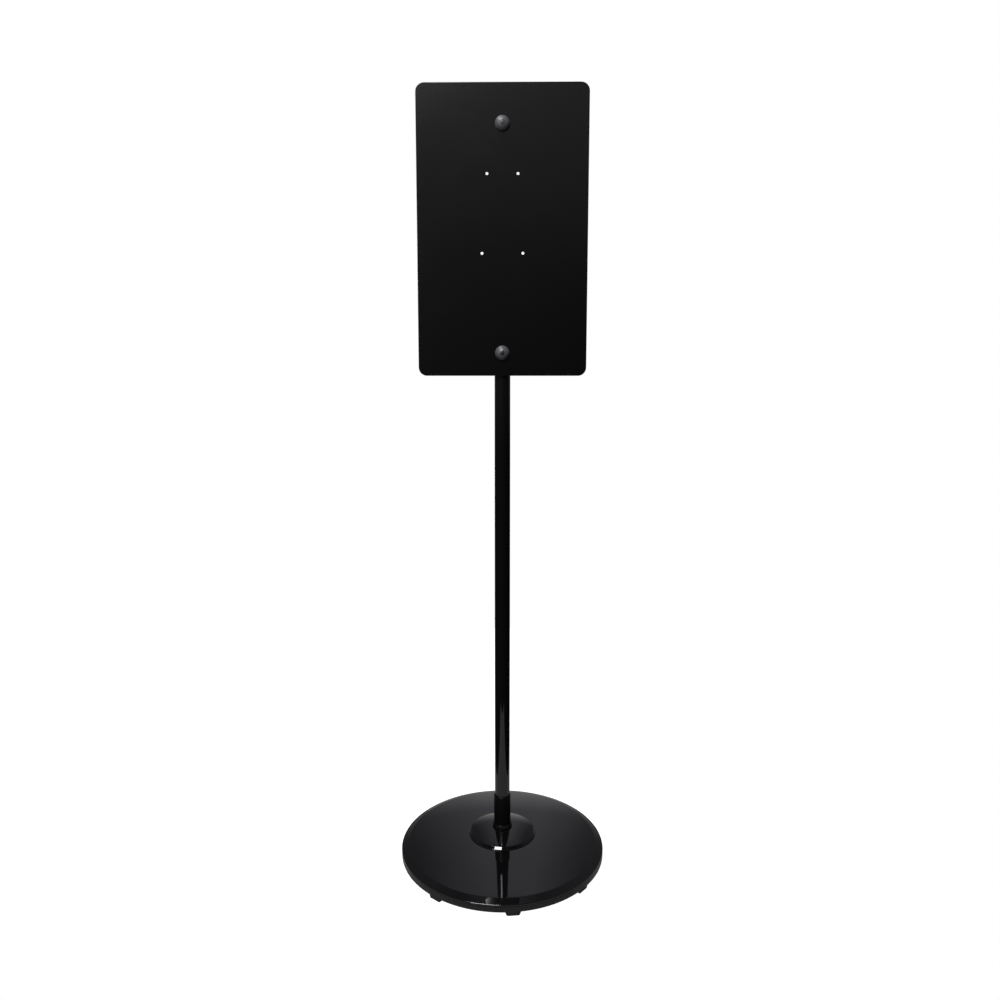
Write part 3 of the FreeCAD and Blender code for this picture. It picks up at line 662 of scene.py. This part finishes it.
ZINC = Finish("Bright zinc plate", (0.56, 0.58, 0.62), (0.72, 0.72, 0.72),
              0.24, 0.38, GRAIN, 0.0008, 0.00001, marks=0.008, dust=0.2, wear=0.5, metallic=1.0)
BARE_STEEL = Finish("Bare mild steel", (0.34, 0.33, 0.32), (0.55, 0.54, 0.52),
                    0.34, 0.52, GRAIN, 0.0010, 0.00002, marks=0.02, dust=0.3, wear=0.6,
                    metallic=1.0)
BALLAST_IRON = Finish("Rough cast iron", (0.060, 0.057, 0.055), (0.13, 0.12, 0.11),
                      0.62, 0.80, GRAIN, 0.0025, 0.0004, marks=0.03, dust=0.5, wear=0.6,
                      metallic=0.6)

SLOT_FINISHES = {
    "shell_gloss": SHELL_GLOSS, "column_paint": COLUMN_PAINT, "plate_paint": PLATE_PAINT,
    "pan_plastic": PAN_PLASTIC, "foot_rubber": FOOT_RUBBER, "knob_plastic": KNOB_PLASTIC,
    "moulded_black": MOULDED_BLACK, "black_oxide": BLACK_OXIDE, "zinc": ZINC,
    "bare_steel": BARE_STEEL, "ballast_iron": BALLAST_IRON,
}


def dress_frame() -> None:
    """Give every CAD node the finish that its material slot names."""
    for name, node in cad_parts.items():
        finish = SLOT_FINISHES[node.data.materials[0].name.split(".")[0]]
        for holder in node.material_slots:
            holder.link = "OBJECT"
            holder.material = finish.material()
        LOG.info("%s: %s", name, finish.name)


# ---------------------------------------------------------------------------------------------
# Sub-assemblies
# ---------------------------------------------------------------------------------------------


@dataclass(frozen=True)
class WeightedBase:
    """Round foot of the stand: domed shell, hub cover, neck ring and rubber feet.

    The steps of the shell and cover are round the turn, over the outside and over the inside;
    those of a foot are up its lower edge, round each corner and round its peg.
    """

    rim_radius: float = 195.5
    shell_bottom: float = 21.2
    rim_edge: float = 2.6
    rim_rounding: float = 2.0
    shoulder_radius: float = 182.0
    shoulder_height: float = 29.5
    shoulder_rounding: float = 3.0
    crown_height: float = 44.0
    seat_radius: float = 66.0
    land_radius: float = 57.5
    land_height: float = 40.0
    shell_wall: float = 2.6
    bore_radius: float = 16.1
    cover_radius: float = 65.0
    cover_side: float = 1.2
    cover_bevel: float = 4.0
    cover_top: float = 57.2
    cover_wall: float = 2.2
    cover_rounding: float = 1.2
    ring_radius: float = 19.0
    ring_band: float = 3.5
    ring_height: float = 8.0
    ring_top_radius: float = 17.0
    foot_height: float = 10.5
    foot_outer: float = 191.0
    foot_depth: float = 15.0
    foot_floor_width: float = 22.0
    foot_top_width: float = 31.0
    foot_edge: float = 1.5
    foot_corner: float = 1.2
    peg_radius: float = 4.0
    peg_height: float = 4.0
    foot_count: int = 8
    first_foot_turn: float = 6.3
    shell_lower_edge: float = 0.25
    recess_edge: float = 0.4
    cover_lower_edge: float = 0.3
    cover_lip: float = 0.4
    ring_edges: tuple[float, float, float, float] = (0.3, 0.6, 0.35, 0.2)
    foot_holds: tuple[float, float, float] = (0.6, 5.0, 0.3)
    foot_top_edge: float = 0.15
    foot_least_corner: float = 0.5
    peg_overlap: float = 0.5
    peg_edge: float = 0.6
    shell_steps: tuple[int, int, int] = (288, 48, 24)
    cover_steps: tuple[int, int, int] = (192, 28, 14)
    ring_steps: int = 128
    foot_steps: tuple[int, int, int] = (8, 6, 32)

    def crown_centre(self) -> float:
        """Height of the crown's centre, from its two ends at the shoulder and the seat.

        Both ends are at the same distance from a centre on the axis, which gives its height as
        the difference of their squares over twice the rise.

        Returns:
            The height, in millimetres.
        """
        rise = self.crown_height - self.shoulder_height
        squares = (self.seat_radius**2 - self.shoulder_radius**2
                   + self.crown_height**2 - self.shoulder_height**2)
        return squares / (2 * rise)

    def shell(self) -> None:
        """Build the domed shell: rim, bevel, crown, and the recess round the column."""
        wall, crown_z = self.shell_wall, self.crown_centre()
        around, outer_steps, inner_steps = self.shell_steps
        outer_r = hypot(self.seat_radius, self.crown_height - crown_z)
        inner_r = outer_r - wall
        slope = atan2(self.shoulder_height - self.shell_bottom - self.rim_edge,
                      self.rim_radius - self.shoulder_radius)
        rim_in = self.rim_radius - wall
        under_rim = (self.shell_bottom + self.rim_edge + wall * tan(slope) - wall / cos(slope))
        shoulder_in = (self.shoulder_radius - wall * sin(slope) * 0.5,
                       crown_z + sqrt(inner_r**2 - (self.shoulder_radius - 0.5) ** 2))
        seat_in = self.land_radius + wall
        crown = arc((self.shoulder_radius, self.shoulder_height),
                    (self.seat_radius, self.crown_height), outer_r, outer_steps)
        inner_end = (seat_in, crown_z + sqrt(inner_r**2 - seat_in**2))
        inner = arc(shoulder_in, inner_end, inner_r, inner_steps)[::-1]
        inner_land = self.land_height - wall
        corners = [
            (rim_in, self.shell_bottom),
            (self.rim_radius, self.shell_bottom, self.shell_lower_edge),
            (self.rim_radius, self.shell_bottom + self.rim_edge, self.rim_rounding),
            (*crown[0], self.shoulder_rounding), *crown[1:],
            (self.land_radius, self.crown_height, self.recess_edge),
            (self.land_radius, self.land_height),
            (self.bore_radius, self.land_height), (self.bore_radius, inner_land),
            (seat_in, inner_land), *inner, (rim_in, under_rim)]
        add_piece("shell_moulding", turned(softened(corners), around),
                  SHELL_GLOSS.material(), Body.BASE, ["base_shell"])

    def hub_cover(self) -> None:
        """Build the raised cover round the column's foot, with its bevelled edge."""
        around, outer_steps, inner_steps = self.cover_steps
        bevel_radius = self.cover_radius - self.cover_bevel
        bevel_top = self.crown_height + self.cover_side + self.cover_bevel
        rise = self.cover_top - bevel_top
        centre = (self.ring_radius**2 - bevel_radius**2
                  + self.cover_top**2 - bevel_top**2) / (2 * rise)
        outer_r = hypot(self.ring_radius, self.cover_top - centre)
        inner_r = outer_r - self.cover_wall
        side_in = self.cover_radius - self.cover_wall
        bevel_in = bevel_radius - self.cover_wall * 0.4
        crown = arc((bevel_radius, bevel_top), (self.ring_radius, self.cover_top), outer_r,
                    outer_steps)
        start = (bevel_in, centre + sqrt(inner_r**2 - bevel_in**2))
        end = (self.bore_radius, centre + sqrt(inner_r**2 - self.bore_radius**2))
        inner = arc(start, end, inner_r, inner_steps)[::-1]
        corners = [
            (side_in, self.crown_height),
            (self.cover_radius, self.crown_height, self.cover_lower_edge),
            (self.cover_radius, self.crown_height + self.cover_side, self.cover_rounding),
            (*crown[0], self.cover_rounding), *crown[1:], (self.bore_radius, self.cover_top),
            *inner, (side_in, self.crown_height + self.cover_lip)]
        add_piece("hub_cover_moulding", turned(softened(corners), around),
                  SHELL_GLOSS.material(), Body.BASE, ["hub_cover"])

    def neck_ring(self) -> None:
        """Build the trim ring between the hub cover and the sleeve."""
        top = self.cover_top + self.ring_height
        foot_edge, band_edge, outer_edge, inner_edge = self.ring_edges
        corners = [
            (self.bore_radius, self.cover_top), (self.ring_radius, self.cover_top, foot_edge),
            (self.ring_radius, self.cover_top + self.ring_band, band_edge),
            (self.ring_top_radius, top, outer_edge), (self.bore_radius, top, inner_edge)]
        add_piece("neck_ring_moulding", turned(softened(corners), self.ring_steps),
                  RING_GLOSS.material(), Body.BASE, ["neck_ring"])

    def foot_skin(self) -> Skin:
        """Work out one foot, straight ahead of the column.

        At the height z the foot is a rounded rectangle whose width grows evenly from the floor
        to the pan. Near the floor it draws in by e - sqrt(e^2 - (e - z)^2), where e is the
        rounding of its lower edge.

        Returns:
            The foot and its peg.
        """
        edge = self.foot_edge
        low_steps, corner_steps, peg_steps = self.foot_steps
        above_edge, middle_height, below_top = self.foot_holds
        low = edge * (1 - np.cos(np.linspace(0.0, pi / 2, low_steps)))
        heights = np.concatenate([low, [edge + above_edge, middle_height,
                                        self.foot_height - below_top, self.foot_height]])
        draw_in = edge - np.sqrt(np.clip(edge**2 - np.clip(edge - heights, 0, None) ** 2, 0, None))
        draw_in[-1] = self.foot_top_edge
        share = heights / self.foot_height
        half_width = ((1 - share) * self.foot_floor_width + share * self.foot_top_width) / 2
        unit, outward = rounded_rectangle(1.0, 1.0, 0.0, corner_steps)
        corner = np.maximum(self.foot_corner - draw_in * 0.3, self.foot_least_corner)[:, None]
        wide = (half_width - draw_in)[:, None] - corner
        deep = (self.foot_depth / 2 - draw_in)[:, None] - corner
        x = unit[None, :, 0] * wide + corner * outward[None, :, 0]
        y = unit[None, :, 1] * deep + corner * outward[None, :, 1]
        y = y - (self.foot_outer - self.foot_depth / 2)
        z = np.repeat(heights[:, None], len(unit), axis=1)
        rows, around = z.shape
        points = np.stack([x, y, z], axis=-1).reshape(-1, 3)
        floor_cap = np.arange(around)[None, ::-1]
        top_cap = ((rows - 1) * around + np.arange(around))[None, :]
        block = Skin(points, (ring_faces(rows, around, False), floor_cap, top_cap))
        peg_foot = self.foot_height - self.peg_overlap
        peg_top = self.foot_height + self.peg_height
        peg = turned(softened([
            (0.0, peg_foot), (self.peg_radius, peg_foot),
            (self.peg_radius, peg_top, self.peg_edge), (0.0, peg_top)], closed=False),
            peg_steps, closed=False)
        middle = np.array([0.0, -(self.foot_outer - self.foot_depth / 2), 0.0])
        return joined(block, peg.moved(peg.points + middle))

    def feet(self) -> None:
        """Build the rubber feet, evenly spaced round the pan."""
        skin = self.foot_skin()
        for number in range(self.foot_count):
            angle = radians(self.first_foot_turn) + number * 2 * pi / self.foot_count
            add_piece(f"rubber_foot_{number + 1}", turned_about_column(skin, angle),
                      FOOT_RUBBER.material(), Body.BASE, [f"foot_{number + 1}"])

    def build(self) -> None:
        """Build every piece of the base."""
        self.shell()
        self.hub_cover()
        self.neck_ring()
        self.feet()


@dataclass(frozen=True)
class Column:
    """Column of the stand: tube, end plugs, the sleeve it stands in, and the plate it holds.

    The plate's steps are round each corner, round each hole and over each rounded edge.
    """

    tube_radius: float = 14.3
    tube_wall: float = 1.5
    tube_bottom: float = 20.3
    tube_top: float = 1392.0
    sleeve_bore: float = 14.4
    sleeve_radius: float = 16.0
    sleeve_floor: float = 17.0
    sleeve_top: float = 122.0
    sleeve_chamfer: float = 0.6
    plug_flange: float = 3.0
    plug_edge: float = 1.0
    plug_spigot: float = 15.0
    plug_wall: float = 2.0
    plug_clearance: float = 0.1
    plate_width: float = 300.0
    plate_bottom: float = 930.0
    plate_top: float = 1430.0
    plate_back: float = 17.3
    plate_thickness: float = 2.0
    plate_corner: float = 15.0
    plate_edge: float = 0.55
    hold: float = 0.5
    hand_screw_heights: tuple[float, float] = (1362.0, 970.5)
    hand_screw_hole: float = 2.75
    device_hole: float = 2.5
    device_holes: tuple[Point, ...] = ((-27.0, 1279.0), (27.0, 1279.0),
                                       (-36.0, 1144.0), (36.0, 1144.0))
    bore_edge: float = 0.2
    tube_edge: float = 0.3
    mouth_edges: tuple[float, float] = (0.4, 0.3)
    plug_edges: tuple[float, float, float] = (0.4, 0.3, 0.5)
    around: int = 96
    plug_around: int = 64
    plate_steps: tuple[int, int, int] = (16, 40, 6)

    def tube(self) -> None:
        """Build the drawn tube, with its ends lightly deburred."""
        bore = self.tube_radius - self.tube_wall
        corners = [(bore, self.tube_bottom, self.bore_edge),
                   (self.tube_radius, self.tube_bottom, self.tube_edge),
                   (self.tube_radius, self.tube_top, self.tube_edge),
                   (bore, self.tube_top, self.bore_edge)]
        add_piece("column_drawn_tube", turned(softened(corners), self.around),
                  COLUMN_PAINT.material(), Body.COLUMN, ["column_tube"])

    def sleeve(self) -> None:
        """Build the sleeve that the tube stands in, with its chamfered mouth."""
        mouth = self.sleeve_top - self.sleeve_chamfer
        lower_edge, upper_edge = self.mouth_edges
        corners = [(self.sleeve_bore, self.sleeve_floor), (self.sleeve_radius, self.sleeve_floor),
                   (self.sleeve_radius, mouth, lower_edge),
                   (self.sleeve_radius - self.sleeve_chamfer, self.sleeve_top, upper_edge),
                   (self.sleeve_bore, self.sleeve_top, self.bore_edge)]
        add_piece("socket_drawn_sleeve", turned(softened(corners), self.around),
                  SLEEVE_PAINT.material(), Body.BASE, ["socket_sleeve"])

    def plugs(self) -> None:
        """Build the plugs in both ends of the tube."""
        spigot = self.tube_radius - self.tube_wall - self.plug_clearance
        inner = spigot - self.plug_wall
        inner_edge, mouth_edge, outer_edge = self.plug_edges
        corners = [
            (0.0, 0.0), (inner, 0.0, inner_edge), (inner, -self.plug_spigot, mouth_edge),
            (spigot, -self.plug_spigot, outer_edge), (spigot, 0.0),
            (self.tube_radius, 0.0, self.bore_edge),
            (self.tube_radius, self.plug_flange - self.plug_edge, outer_edge),
            (self.tube_radius - self.plug_edge, self.plug_flange, outer_edge),
            (0.0, self.plug_flange)]
        plug = turned(softened(corners, closed=False), self.plug_around, closed=False)
        x, y, z = plug.points.T
        upper = plug.moved(np.stack([x, y, z + self.tube_top], axis=-1))
        lower = plug.moved(np.stack([x, -y, self.tube_bottom - z], axis=-1))
        for name, skin, node in (("top_plug_moulding", upper, "column_cap"),
                                 ("bottom_plug_moulding", lower, "column_plug")):
            add_piece(name, skin, MOULDED_BLACK.material(), Body.COLUMN, [node])

    def plate_edge_strip(self, path: np.ndarray, outward: np.ndarray) -> Skin:
        """Carry the plate's rounded edge along one closed path.

        A point of the section at (in or out, depth) goes to the path's point plus in or out
        times the outward direction, at that depth behind the front face.

        Args:
            path: X and Z of the path's points, anticlockwise as seen from the front for the
                plate's outline and clockwise for a hole.
            outward: Directions away from the plate's metal.

        Returns:
            The strip from the front face round the edge to the back face.
        """
        edge, deep = self.plate_edge, self.plate_thickness
        quarter = np.linspace(0.0, pi / 2, self.plate_steps[2])
        front = np.stack([edge * (np.sin(quarter) - 1), edge * (1 - np.cos(quarter))], axis=-1)
        back = np.stack([front[::-1, 0], deep - front[::-1, 1]], axis=-1)
        hold = np.array([[-edge - self.hold, 0.0]])
        hold_back = np.array([[-edge - self.hold, deep]])
        section = np.vstack([hold, front, back, hold_back])
        across = path[None] + section[:, None, :1] * outward[None]
        depth = np.repeat(section[:, 1:2], len(path), axis=1)
        front_face = -(self.plate_back + self.plate_thickness)
        points = np.stack([across[..., 0], front_face + depth, across[..., 1]], axis=-1)
        faces = ring_faces(len(section), len(path), False)[:, ::-1]
        return Skin(points.reshape(-1, 3), (faces,))

    def plate(self) -> None:
        """Build the plate: rounded edges round the outline and every hole, and two flat faces."""
        middle = np.array([0.0, (self.plate_bottom + self.plate_top) / 2])
        corner_steps, hole_steps, _ = self.plate_steps
        outline, outward = rounded_rectangle(
            self.plate_width / 2, (self.plate_top - self.plate_bottom) / 2, self.plate_corner,
            corner_steps)
        loops = [(outline + middle, outward)]
        holes = [(x, z, self.device_hole) for x, z in self.device_holes]
        holes += [(0.0, z, self.hand_screw_hole) for z in self.hand_screw_heights]
        turn = -np.arange(hole_steps) * 2 * pi / hole_steps
        spoke = np.stack([np.cos(turn), np.sin(turn)], axis=-1)
        for x, z, radius in holes:
            loops.append((np.array([x, z]) + radius * spoke, -spoke))
        strips = [self.plate_edge_strip(*loop) for loop in loops]
        flats = [self.plate_flat([strip.points[:len(loop[0])] for strip, loop in
                                  zip(strips, loops)], False),
                 self.plate_flat([strip.points[-len(loop[0]):] for strip, loop in
                                  zip(strips, loops)], True)]
        add_piece("sign_plate_panel", joined(*strips, *flats), PLATE_PAINT.material(),
                  Body.COLUMN, ["sign_plate"])

    def plate_flat(self, loops: list[np.ndarray], at_back: bool) -> Skin:
        """Fill one flat face of the plate between its outline and its holes.

        Args:
            loops: The points of each closed loop, the outline first.
            at_back: Whether this is the rear face.

        Returns:
            The flat face, as triangles.
        """
        firsts = np.cumsum([0] + [len(loop) for loop in loops])
        edges = [(int(first + k), int(first + (k + 1) % len(loop)))
                 for loop, first in zip(loops, firsts) for k in range(len(loop))]
        points = np.vstack(loops)
        flat = [tuple(row) for row in points[:, [0, 2]].tolist()]
        found, _, triangles, _, _, _ = delaunay_2d_cdt(
            [Vector(p) for p in flat], edges, [], 0, 1e-7)
        corners = np.array([list(p) for p in found])
        rows = np.array(triangles)
        keep = self.inside(corners[rows].mean(axis=1), loops)
        rows = rows[keep]
        if at_back:
            rows = rows[:, ::-1]
        depth = np.full(len(corners), points[0, 1])
        return Skin(np.stack([corners[:, 0], depth, corners[:, 1]], axis=-1), (rows,))

    def inside(self, places: np.ndarray, loops: list[np.ndarray]) -> np.ndarray:
        """Tell which places are on the metal, out of every hole.

        Args:
            places: X and Z of each place.
            loops: The points of each closed loop, the outline first.

        Returns:
            Whether each place is on the metal.
        """
        keep = np.ones(len(places), bool)
        for loop in loops[1:]:
            centre = loop[:, [0, 2]].mean(axis=0)
            radius = np.linalg.norm(loop[0, [0, 2]] - centre)
            keep &= np.linalg.norm(places - centre, axis=1) > radius * 0.999
        return keep

    def build(self) -> None:
        """Build every piece of the column."""
        self.tube()
        self.sleeve()
        self.plugs()
        self.plate()


@dataclass(frozen=True)
class HandScrew:
    """One hand screw with its domed knob and captive washer.

    The steps around are the knob's, the screw's and the washer's.

    Args:
        level: upper or lower.
        height: Height of its axis above the floor.
    """

    level: str
    height: float
    plate_front: float = 19.3
    knob_radius: float = 13.0
    knob_lift: float = 0.7
    knob_skirt: float = 2.8
    knob_height: float = 11.0
    dome_radius: float = 14.2
    head_radius: float = 4.25
    head_height: float = 5.0
    head_recess: float = 0.3
    head_play: float = 0.10
    head_crown: float = 0.22
    tip_radius: float = 1.7
    screw_radius: float = 2.5
    screw_length: float = 25.0
    thread_pitch: float = 0.8
    thread_depth: float = 0.42
    washer_radius: float = 9.0
    washer_thickness: float = 1.4
    gap: float = 0.2
    screw_play: float = 0.05
    recess_edge: float = 0.25
    skirt_edge: float = 0.6
    lip_edge: float = 0.45
    washer_edge: float = 0.3
    lead_in: float = 0.9
    run_out: float = 1.2
    neck: tuple[float, float] = (1.0, 0.6)
    head_foot_edge: float = 0.3
    head_shoulder: float = 0.45
    head_shoulder_edge: float = 0.5
    crown_share: float = 0.86
    crown_drop: float = 0.03
    crown_radius: float = 22.0
    points_per_turn: int = 8
    crown_steps: int = 6
    dome_steps: int = 24
    around: tuple[int, int, int] = (96, 72, 72)

    def knob(self) -> None:
        """Build the domed knob, with a soft lip round the screw's head."""
        front = self.plate_front
        under = front + 2 * self.gap + self.washer_thickness
        recess = self.washer_radius + self.gap
        top = front + self.knob_height
        head_under = top - self.head_recess - self.head_height
        dome = arc((self.knob_radius, front + self.knob_skirt), (self.head_radius, top),
                   self.dome_radius, self.dome_steps)
        corners = [
            (self.screw_radius, under), (recess, under),
            (recess, front + self.knob_lift, self.recess_edge),
            (self.knob_radius, front + self.knob_lift, self.skirt_edge), *dome[:-1],
            (*dome[-1], self.lip_edge), (self.head_radius, head_under),
            (self.screw_radius, head_under)]
        skin = turned(softened(corners), self.around[0])
        add_piece(f"hand_knob_{self.level}", facing_out(skin, self.height),
                  KNOB_PLASTIC.material(), f"hand_screw_{self.level}",
                  [f"knob_{self.level}"])

    def screw(self) -> None:
        """Build the screw: threaded shank and low-domed round head.

        Along the thread the radius is r plus d times a triangle wave of (z / pitch - a / turn).
        """
        top = self.plate_front + self.knob_height - self.head_recess
        under = top - self.head_height
        tip = under - self.screw_length
        head = self.head_radius - self.head_play
        root = self.screw_radius - self.thread_depth / 2
        neck_low, neck_high = self.neck
        shank = [(root, z) for z in np.arange(tip + self.lead_in, under - self.run_out,
                                              self.thread_pitch / self.points_per_turn)]
        crown = arc((head * self.crown_share, top - self.crown_drop),
                    (0.0, top + self.head_crown), self.crown_radius, self.crown_steps)
        head_outline = softened([
            (self.screw_radius, under), (head, under, self.head_foot_edge),
            (head, top - self.head_shoulder, self.head_shoulder_edge), *crown], closed=False)
        outline = np.array([(0.0, tip), (self.tip_radius, tip), *shank, (root, under - neck_low),
                            (self.screw_radius, under - neck_high), *head_outline.tolist()])
        threaded = np.zeros((len(outline), 1))
        threaded[2:2 + len(shank)] = 1.0

        def reach(radius: np.ndarray, turn: np.ndarray) -> np.ndarray:
            """Work the thread in.

            Args:
                radius: The outline's radii.
                turn: The angles.

            Returns:
                The radius for each point and angle.
            """
            phase = outline[:, 1:2] / self.thread_pitch - turn / (2 * pi)
            wave = 0.5 - np.abs(phase % 1.0 - 0.5) * 2
            return radius + threaded * self.thread_depth * wave

        skin = turned(outline, self.around[1], closed=False, reach=reach)
        add_piece(f"dome_screw_{self.level}", facing_out(skin, self.height),
                  BLACK_OXIDE.material(), f"hand_screw_{self.level}",
                  [f"knob_screw_{self.level}"])

    def washer(self) -> None:
        """Build the captive washer behind the knob."""
        low = self.plate_front + self.gap
        high = low + self.washer_thickness
        bore = self.screw_radius + self.screw_play
        corners = [(bore, low), (self.washer_radius, low, self.washer_edge),
                   (self.washer_radius, high, self.washer_edge), (bore, high)]
        skin = turned(softened(corners), self.around[2])
        add_piece(f"captive_washer_{self.level}", facing_out(skin, self.height),
                  MOULDED_BLACK.material(), f"washer_{self.level}",
                  [f"knob_washer_{self.level}"])

    def build(self) -> None:
        """Build the knob, the screw and the washer."""
        self.knob()
        self.screw()
        self.washer()


# ---------------------------------------------------------------------------------------------
# Studio
# ---------------------------------------------------------------------------------------------


@dataclass(frozen=True)
class SoftLight:
    """One soft area light.

    Args:
        name: The light's name.
        place: Where it stands, in metres.
        aim: The point that it faces, in metres.
        size: Its width and height, in metres.
        power: Its power, in watts.
        colour: Its colour.
    """

    name: str
    place: Place
    aim: Place
    size: Point
    power: float
    colour: Colour = (1.0, 1.0, 1.0)

    def build(self) -> None:
        """Add the light to the scene."""
        lamp = bpy.data.lights.new(self.name, "AREA")
        lamp.shape = "RECTANGLE"
        lamp.size, lamp.size_y = self.size
        lamp.energy = self.power
        lamp.color = self.colour
        holder = bpy.data.objects.new(self.name, lamp)
        holder.location = self.place
        way = np.array(self.aim) - np.array(self.place)
        flat = hypot(way[0], way[1])
        holder.rotation_euler = Euler((atan2(flat, -way[2]), 0.0, atan2(-way[0], way[1])))
        bpy.context.scene.collection.objects.link(holder)


@dataclass(frozen=True)
class Studio:
    """Pale floor, soft lights, backdrop and camera.

    Each ramp is a low and a high value of a direction's part (right, away or up, from -1 to 1)
    and the brightness at those two. The far room is mirrored in what faces up, and the near
    room in what faces the camera.
    """

    camera_place: Place = (0.0145, -1.5093, 0.9473)
    camera_pitch: float = 7.63
    camera_heading: float = 0.72
    focal_length: float = 29.70
    shift: Point = (0.0, -0.0234)
    paper_half_width: float = 0.328
    paper_front: float = -0.684
    paper_back: float = 1.40
    paper_tone: float = 0.42
    paper_unevenness: float = 0.01
    ceiling_rise: Ramp = (0.02, 0.80, 0.24, 0.52)
    ceiling_top: Ramp = (0.80, 0.95, 1.0, 0.62)
    far_wall_glow: Ramp = (0.34, 0.04, 0.0, 0.45)
    far_wall_reach: Ramp = (0.2, 0.9, 0.0, 1.0)
    left_side: Ramp = (-0.28, -0.06, 0.30, 1.0)
    right_side: Ramp = (0.10, 0.26, 1.0, 0.38)
    near_wall_low: Ramp = (0.10, 0.34, 0.085, 0.42)
    near_wall_high: Ramp = (0.45, 0.70, 1.0, 0.08)
    near_shade_across: Ramp = (-0.04, 0.10, 0.0, 0.6)
    near_shade_up: Ramp = (0.14, 0.02, 0.0, 1.0)
    near_to_far: Ramp = (-0.35, 0.25, 0.0, 1.0)
    ground: Ramp = (-0.10, 0.0, 0.05, 1.0)
    tint_change: Ramp = (0.08, 0.30, 0.0, 1.0)
    low_tint: Colour = (1.0, 0.93, 0.90)
    high_tint: Colour = (0.92, 0.93, 1.0)
    lights: tuple[SoftLight, ...] = (
        SoftLight("Main softbox", (-0.55, -1.61, 2.60), (0.0, 0.0, 0.6), (0.90, 0.70), 60.0,
                  (0.98, 0.98, 1.0)),
        SoftLight("Top softbox", (-0.55, -0.45, 2.50), (0.0, 0.0, 1.2), (0.70, 0.60), 15.0,
                  (0.98, 0.98, 1.0)),
        SoftLight("Low strip", (-1.00, -1.73, 1.40), (0.0, 0.0, 0.3), (0.22, 0.40), 14.0,
                  (0.95, 0.97, 1.0)),
    )

    def floor(self) -> None:
        """Lay a strip of pale, softly glowing paper that runs from front to back."""
        half_width, front, back = self.paper_half_width, self.paper_front, self.paper_back
        corners = [(-half_width, front, 0.0), (half_width, front, 0.0),
                   (half_width, back, 0.0), (-half_width, back, 0.0)]
        mesh = bpy.data.meshes.new("studio_floor")
        mesh.from_pydata(corners, [], [(0, 1, 2, 3)])
        pale = bpy.data.materials.new("Pale studio paper")
        pale.use_nodes = True
        w = Wiring(pale.node_tree)
        shader = pale.node_tree.nodes["Principled BSDF"]
        place = w.add("ShaderNodeTexCoord").outputs["Object"]
        tone = w.noise(place, 60.0, 2.0)
        light, dark = (self.paper_tone,) * 3, (self.paper_tone - self.paper_unevenness,) * 3
        w.feed(shader.inputs["Base Color"], w.blend(tone, light, dark))
        shader.inputs["Roughness"].default_value = 0.9
        shader.inputs["Specular IOR Level"].default_value = 0.1
        shader.inputs["Emission Color"].default_value = (1.0, 1.0, 1.0, 1.0)
        w.feed(shader.inputs["Emission Strength"],
               w.add("ShaderNodeLightPath").outputs["Is Camera Ray"])
        mesh.materials.append(pale)
        paper = bpy.data.objects.new("studio_floor", mesh)
        bpy.context.scene.collection.objects.link(paper)

    def backdrop(self) -> None:
        """Light the room: a white backdrop, and a dim studio that the gloss surfaces mirror."""
        world = bpy.data.worlds.new("Studio")
        bpy.context.scene.world = world
        world.use_nodes = True
        world.node_tree.nodes.clear()
        w = Wiring(world.node_tree)
        way = w.add("ShaderNodeTexCoord").outputs["Generated"]
        parts = w.add("ShaderNodeSeparateXYZ", {0: way}).outputs
        right, away, up = parts["X"], parts["Y"], parts["Z"]
        ceiling = w.product(w.span(up, *self.ceiling_rise), w.span(up, *self.ceiling_top))
        glow = w.product(w.span(up, *self.far_wall_glow), w.span(away, *self.far_wall_reach))
        sides = w.product(w.span(right, *self.left_side), w.span(right, *self.right_side))
        far = w.product(w.math("ADD", ceiling, glow), sides)
        wall = w.product(w.span(up, *self.near_wall_low), w.span(up, *self.near_wall_high))
        shade = w.product(w.span(right, *self.near_shade_across),
                          w.span(up, *self.near_shade_up))
        near = w.product(wall, w.math("SUBTRACT", 1.0, shade))
        share = w.span(away, *self.near_to_far)
        walls = w.math("ADD", w.product(far, share),
                       w.product(near, w.math("SUBTRACT", 1.0, share)))
        dim = w.product(walls, w.span(up, *self.ground))
        tint = w.blend(w.span(up, *self.tint_change), self.low_tint, self.high_tint)
        room = w.add("ShaderNodeBackground", {"Color": tint, "Strength": dim})
        white = w.add("ShaderNodeBackground", {"Color": (1.0, 1.0, 1.0, 1.0), "Strength": 1.0})
        seen = w.add("ShaderNodeLightPath").outputs["Is Camera Ray"]
        both = w.add("ShaderNodeMixShader", {0: seen, 1: room.outputs[0], 2: white.outputs[0]})
        w.add("ShaderNodeOutputWorld", {"Surface": both.outputs[0]})

    def camera(self) -> None:
        """Set up the camera at the height of the plate's lower part."""
        lens = bpy.data.cameras.new("View")
        lens.lens = self.focal_length
        lens.sensor_width = 36.0
        lens.shift_x, lens.shift_y = self.shift
        holder = bpy.data.objects.new("View", lens)
        holder.location = self.camera_place
        holder.rotation_euler = Euler(
            (radians(90.0 - self.camera_pitch), 0.0, radians(self.camera_heading)))
        bpy.context.scene.collection.objects.link(holder)
        bpy.context.scene.camera = holder

    def build(self) -> None:
        """Build the whole studio."""
        self.floor()
        self.backdrop()
        for light in self.lights:
            light.build()
        self.camera()
        bpy.context.scene.view_settings.view_transform = "Standard"
        LOG.info("studio: %d lights", len(self.lights))


def main() -> None:
    """Build the stand and its studio."""
    logging.basicConfig(level=logging.INFO, format="%(message)s")
    dress_frame()
    WeightedBase().build()
    Column().build()
    for level, height in zip(("upper", "lower"), Column().hand_screw_heights):
        HandScrew(level, height).build()
    Studio().build()


if __name__ == "__main__":
    main()
